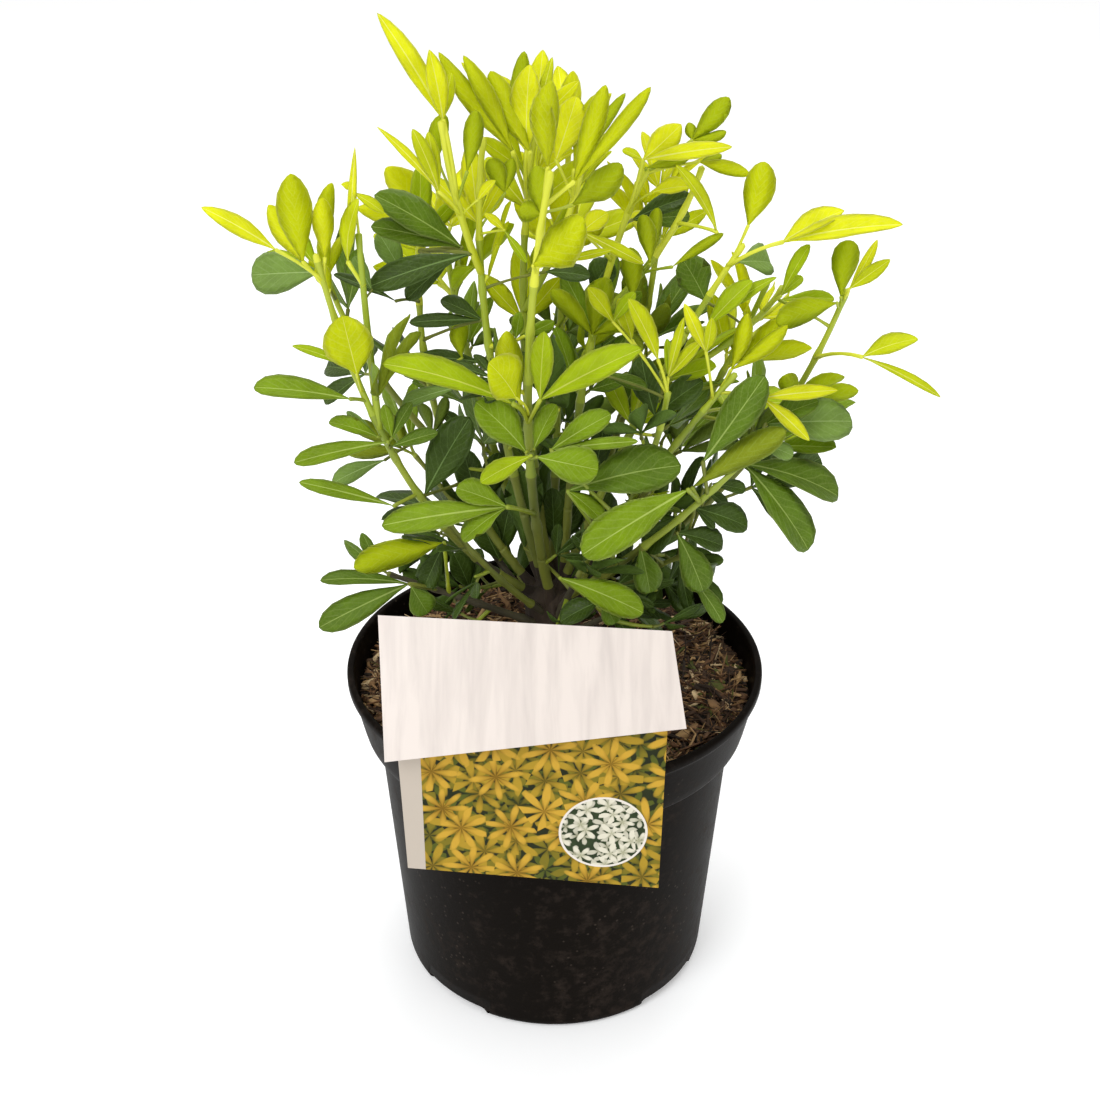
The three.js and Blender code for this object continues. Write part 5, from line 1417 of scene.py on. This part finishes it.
shredMaterials = []
for number, code in enumerate(compostColours):
    look = Finish("shred_" + str(number))
    grain = look.noise(500, 3.0)
    colour = look.blend(grain, scaled(hexColour(code), 0.7), scaled(hexColour(code), 1.25))
    shredMaterials.append(look.finish({"Base Color": colour, "Roughness": 0.85}))
buildCompost()
for number, (name, look) in enumerate(loose.items()):
    buildShreds(name, shredShape["seed"] + number, **look)
print("pot and compost built")


# The label: a header, a picture card and a stake, each a thin plate
labelPlates = dict(
    header=dict(corners=[(-68, -105, 179), (52, -101, 192.5), (46.7, -77.2, 223.1), (-71.5, -69, 225.5)],
                back=(0, 0.79, -0.61), bow=0.9),
    card=dict(corners=[(-62, -96.2, 117), (44, -96.2, 106), (45, -96.2, 197.6), (-64, -96.2, 190.1)],
              back=(0, 1, 0), bow=0),
    stake=dict(corners=[(-22, -80, 134), (-2, -80, 134), (0, -80, 215.6), (-24, -80, 213.9)],
               back=(0, 1, 0), bow=0),
)
labelThick = 0.8


def buildPlate(name, plate, material, steps=(24, 12)):
    # A plate: rings go round the section, front then back, and are carried from left to right. Between the
    # corners places are (1-u)(1-v) a + u (1-v) b + u v c + (1-u) v d, moved by a bow 4 u (1-u).
    a, b, c, d = np.array(plate["corners"], float)
    u = np.linspace(0, 1, steps[0])[:, None, None]
    v = np.linspace(0, 1, steps[1])[None, :, None]
    front = (1 - u) * (1 - v) * a + u * (1 - v) * b + u * v * c + (1 - u) * v * d
    back = np.array(plate["back"])
    front = front - back * plate["bow"] * 4 * u * (1 - u)
    rear = front + back * labelThick
    rings = np.concatenate([front, rear[:, ::-1]], 1)
    ends = (front + rear).mean(1) / 2
    points = ringBody(rings[None], ends[:1], ends[-1:])
    quads, triangles = ringFaces(1, steps[0], 2 * steps[1])
    piece = makePiece(name, points, quads, triangles, [material], smooth=False)
    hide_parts("label")


def paperFinish():
    # Off-white paper with a faint grain and a blush of pink
    look = Finish("labelPaper")
    grain = look.noise(70, 4.0, 0.6, look.stretched((2.2, 0.25, 0.25)), 0.3)
    pink = look.ramp(look.noise(7, 1.0), (0.45, 0.0), (0.65, 1.0))
    colour = look.blend(look.ramp(grain, (0.4, 0.0), (0.7, 1.0)), hexColour("#d5ccc6"), hexColour("#c5bcb7"))
    colour = look.blend(0.35 * pink, colour, hexColour("#dcc2be"))
    return look.finish({"Base Color": colour, "Roughness": 0.35, "Specular IOR Level": 0.45})


def rosettes(look, base, where, scale, petals, size, colours):
    # Stars of pointed leaves, one a cell: inside where distance < size |cos(petals angle / 2)|^1.5. The
    # colour runs from the first to the second along each leaf, and its middle is lighter than its edge.
    settings = {"voronoi_dimensions": "2D", "feature": "F1"}
    sockets = {"Vector": where, "Scale": scale, "Randomness": 0.85}
    cell = look.node("ShaderNodeTexVoronoi", settings, sockets, "Position")
    tint = look.node("ShaderNodeTexVoronoi", settings, sockets, "Color")
    away = look.node("ShaderNodeVectorMath", {"operation": "SUBTRACT"}, {0: where, 1: cell})
    parts = [look.node("ShaderNodeSeparateXYZ", None, {"Vector": away}, i) for i in (0, 1)]
    lot = look.node("ShaderNodeSeparateColor", None, {"Color": tint}, 0)
    angle = parts[1].does("ARCTAN2", parts[0]) + 6.28 * lot
    reach = (parts[0] * parts[0] + parts[1] * parts[1]).does("SQRT") * scale
    petal = (angle * (petals / 2)).does("COSINE").does("ABSOLUTE")
    wobble = 0.2 * look.noise(scale * 3, 2.0, 0.5, where)
    inside = ((0.8 + 0.4 * lot) * size * petal.does("POWER", 1.5) + wobble) - reach
    shade = look.ramp(petal * 0.5 + reach * 1.3 + 0.25 * lot, (0.45, 0.0), (1.15, 1.0))
    leaf = look.blend(shade, colours[0], colours[1])
    leaf = look.blend(look.ramp(inside, (0.0, 0.55), (0.12, 0.0)), leaf, base)
    return look.blend(look.ramp(inside, (0.0, 0.0), (0.05, 1.0)), base, leaf)


# The card's pattern, in metres: four layers of leaves, a round inset of pale blossom with a light ring, and a
# plain strip at the left
picture = dict(
    ground=("#0e120a", "#2c3216"), shift=(0.031, 0.017), turn=0.6,
    layers=[dict(moved=1, scale=85, petals=6, size=0.6, colours=("#252c10", "#4e541a")),
            dict(moved=0, scale=64, petals=6, size=0.62, colours=("#34340e", "#73681b")),
            dict(moved=2, scale=52, petals=7, size=0.56, colours=("#54470e", "#a18425")),
            dict(moved=3, scale=44, petals=8, size=0.46, colours=("#6c500b", "#bd9632"))],
    insetAt=(0.02, 0.136), inset=0.0175, ring=0.001, ringColour="#d8d2ca", insetGround=("#141c10", "#38482a"),
    blossom=[dict(moved=2, scale=150, petals=4, size=0.62, colours=("#84846c", "#b9b6a4")),
             dict(moved=0, scale=115, petals=5, size=0.6, colours=("#98987c", "#d0ccba"))],
    strip=-0.0545, stripColour="#b8aea2",
)


def pictureFinish():
    look = Finish("labelPicture")
    parts = [look.node("ShaderNodeSeparateXYZ", None, {"Vector": look.place()}, i) for i in (0, 2)]
    flat = look.node("ShaderNodeCombineXYZ", None, {"X": parts[0], "Y": parts[1]})
    places = [flat]
    for i in (1, 2, 3):
        shift = (picture["shift"][0] * i, picture["shift"][1] * i, 0)
        sockets = {"Vector": flat, "Location": shift, "Rotation": (0, 0, picture["turn"] * i)}
        places.append(look.node("ShaderNodeMapping", None, sockets))

    def layered(base, layers):
        for layer in layers:
            colours = [hexColour(code) for code in layer["colours"]]
            where, petals = places[layer["moved"]], layer["petals"]
            base = rosettes(look, base, where, layer["scale"], petals, layer["size"], colours)
        return base
    base = look.blend(look.noise(160, 5.0), *map(hexColour, picture["ground"]))
    base = layered(base, picture["layers"])
    x, z = parts[0] - picture["insetAt"][0], parts[1] - picture["insetAt"][1]
    away = (x * x + z * z).does("SQRT")
    dark = look.blend(look.noise(200, 2.0), *map(hexColour, picture["insetGround"]))
    blossom = layered(dark, picture["blossom"])
    base = look.blend(away < picture["inset"] + picture["ring"], base, hexColour(picture["ringColour"]))
    base = look.blend(away < picture["inset"], base, blossom)
    base = look.blend(parts[0] < picture["strip"], base, hexColour(picture["stripColour"]))
    return look.finish({"Base Color": base, "Roughness": 0.4, "Specular IOR Level": 0.1})


paper = paperFinish()
buildPlate("labelHeader", labelPlates["header"], paper)
buildPlate("labelCard", labelPlates["card"], pictureFinish())
buildPlate("labelStake", labelPlates["stake"], paper)
print("label built")


# A plain floor, soft studio light and the camera
studio = dict(
    world=0.76, warmth=(1.0, 0.975, 0.945, 1), floorColour=(0.93, 0.95, 0.97, 1), floorGlow=0.2, floorHalf=6,
    lights=dict(key=dict(place=(-0.9, -1.3, 1.7), target=(0, 0, 0.25), size=0.9, watts=20),
                fill=dict(place=(1.4, -1.0, 0.9), target=(0, 0, 0.2), size=1.2, watts=4),
                top=dict(place=(0.1, 0.5, 1.9), target=(0, 0, 0.25), size=1.0, watts=13)),
)


def buildFloor():
    mesh = bpy.data.meshes.new("floor")
    half = studio["floorHalf"]
    corners = [(-half, -half, 0), (half, -half, 0), (half, half, 0), (-half, half, 0)]
    mesh.from_pydata(corners, [], [(0, 1, 2, 3)])
    look = Finish("floorPaint")
    sockets = {"Base Color": studio["floorColour"], "Roughness": 0.9, "Emission Color": (1, 1, 1, 1),
               "Emission Strength": studio["floorGlow"]}
    mesh.materials.append(look.finish(sockets))
    floor = bpy.data.objects.new("floor", mesh)
    bpy.context.scene.collection.objects.link(floor)
    floor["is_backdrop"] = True


def areaLight(name, place, target, size, watts):
    light = bpy.data.lights.new(name, "AREA")
    light.energy, light.size = watts, size
    made = bpy.data.objects.new(name, light)
    made.location = place
    made.rotation_euler = (Vector(target) - Vector(place)).to_track_quat("-Z", "Y").to_euler()
    bpy.context.scene.collection.objects.link(made)


buildFloor()
world = bpy.data.worlds.new("world")
world.use_nodes = True
world.node_tree.nodes["Background"].inputs["Color"].default_value = studio["warmth"]
world.node_tree.nodes["Background"].inputs["Strength"].default_value = studio["world"]
bpy.context.scene.world = world
bpy.context.scene.view_settings.view_transform = "Standard"
for name, light in studio["lights"].items():
    areaLight(name, **light)

lens = bpy.data.cameras.new("camera")
lens.lens, lens.sensor_width = 53.02, 36 # mm: the eye's focal length, where 1100 pixels span the sensor
lens.clip_start = 0.01
camera = bpy.data.objects.new("camera", lens)
camera.location = viewer * 0.001
camera.rotation_euler = (math.pi / 2 - eye["pitch"], 0, 0)
bpy.context.scene.collection.objects.link(camera)
bpy.context.scene.camera = camera

low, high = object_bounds()
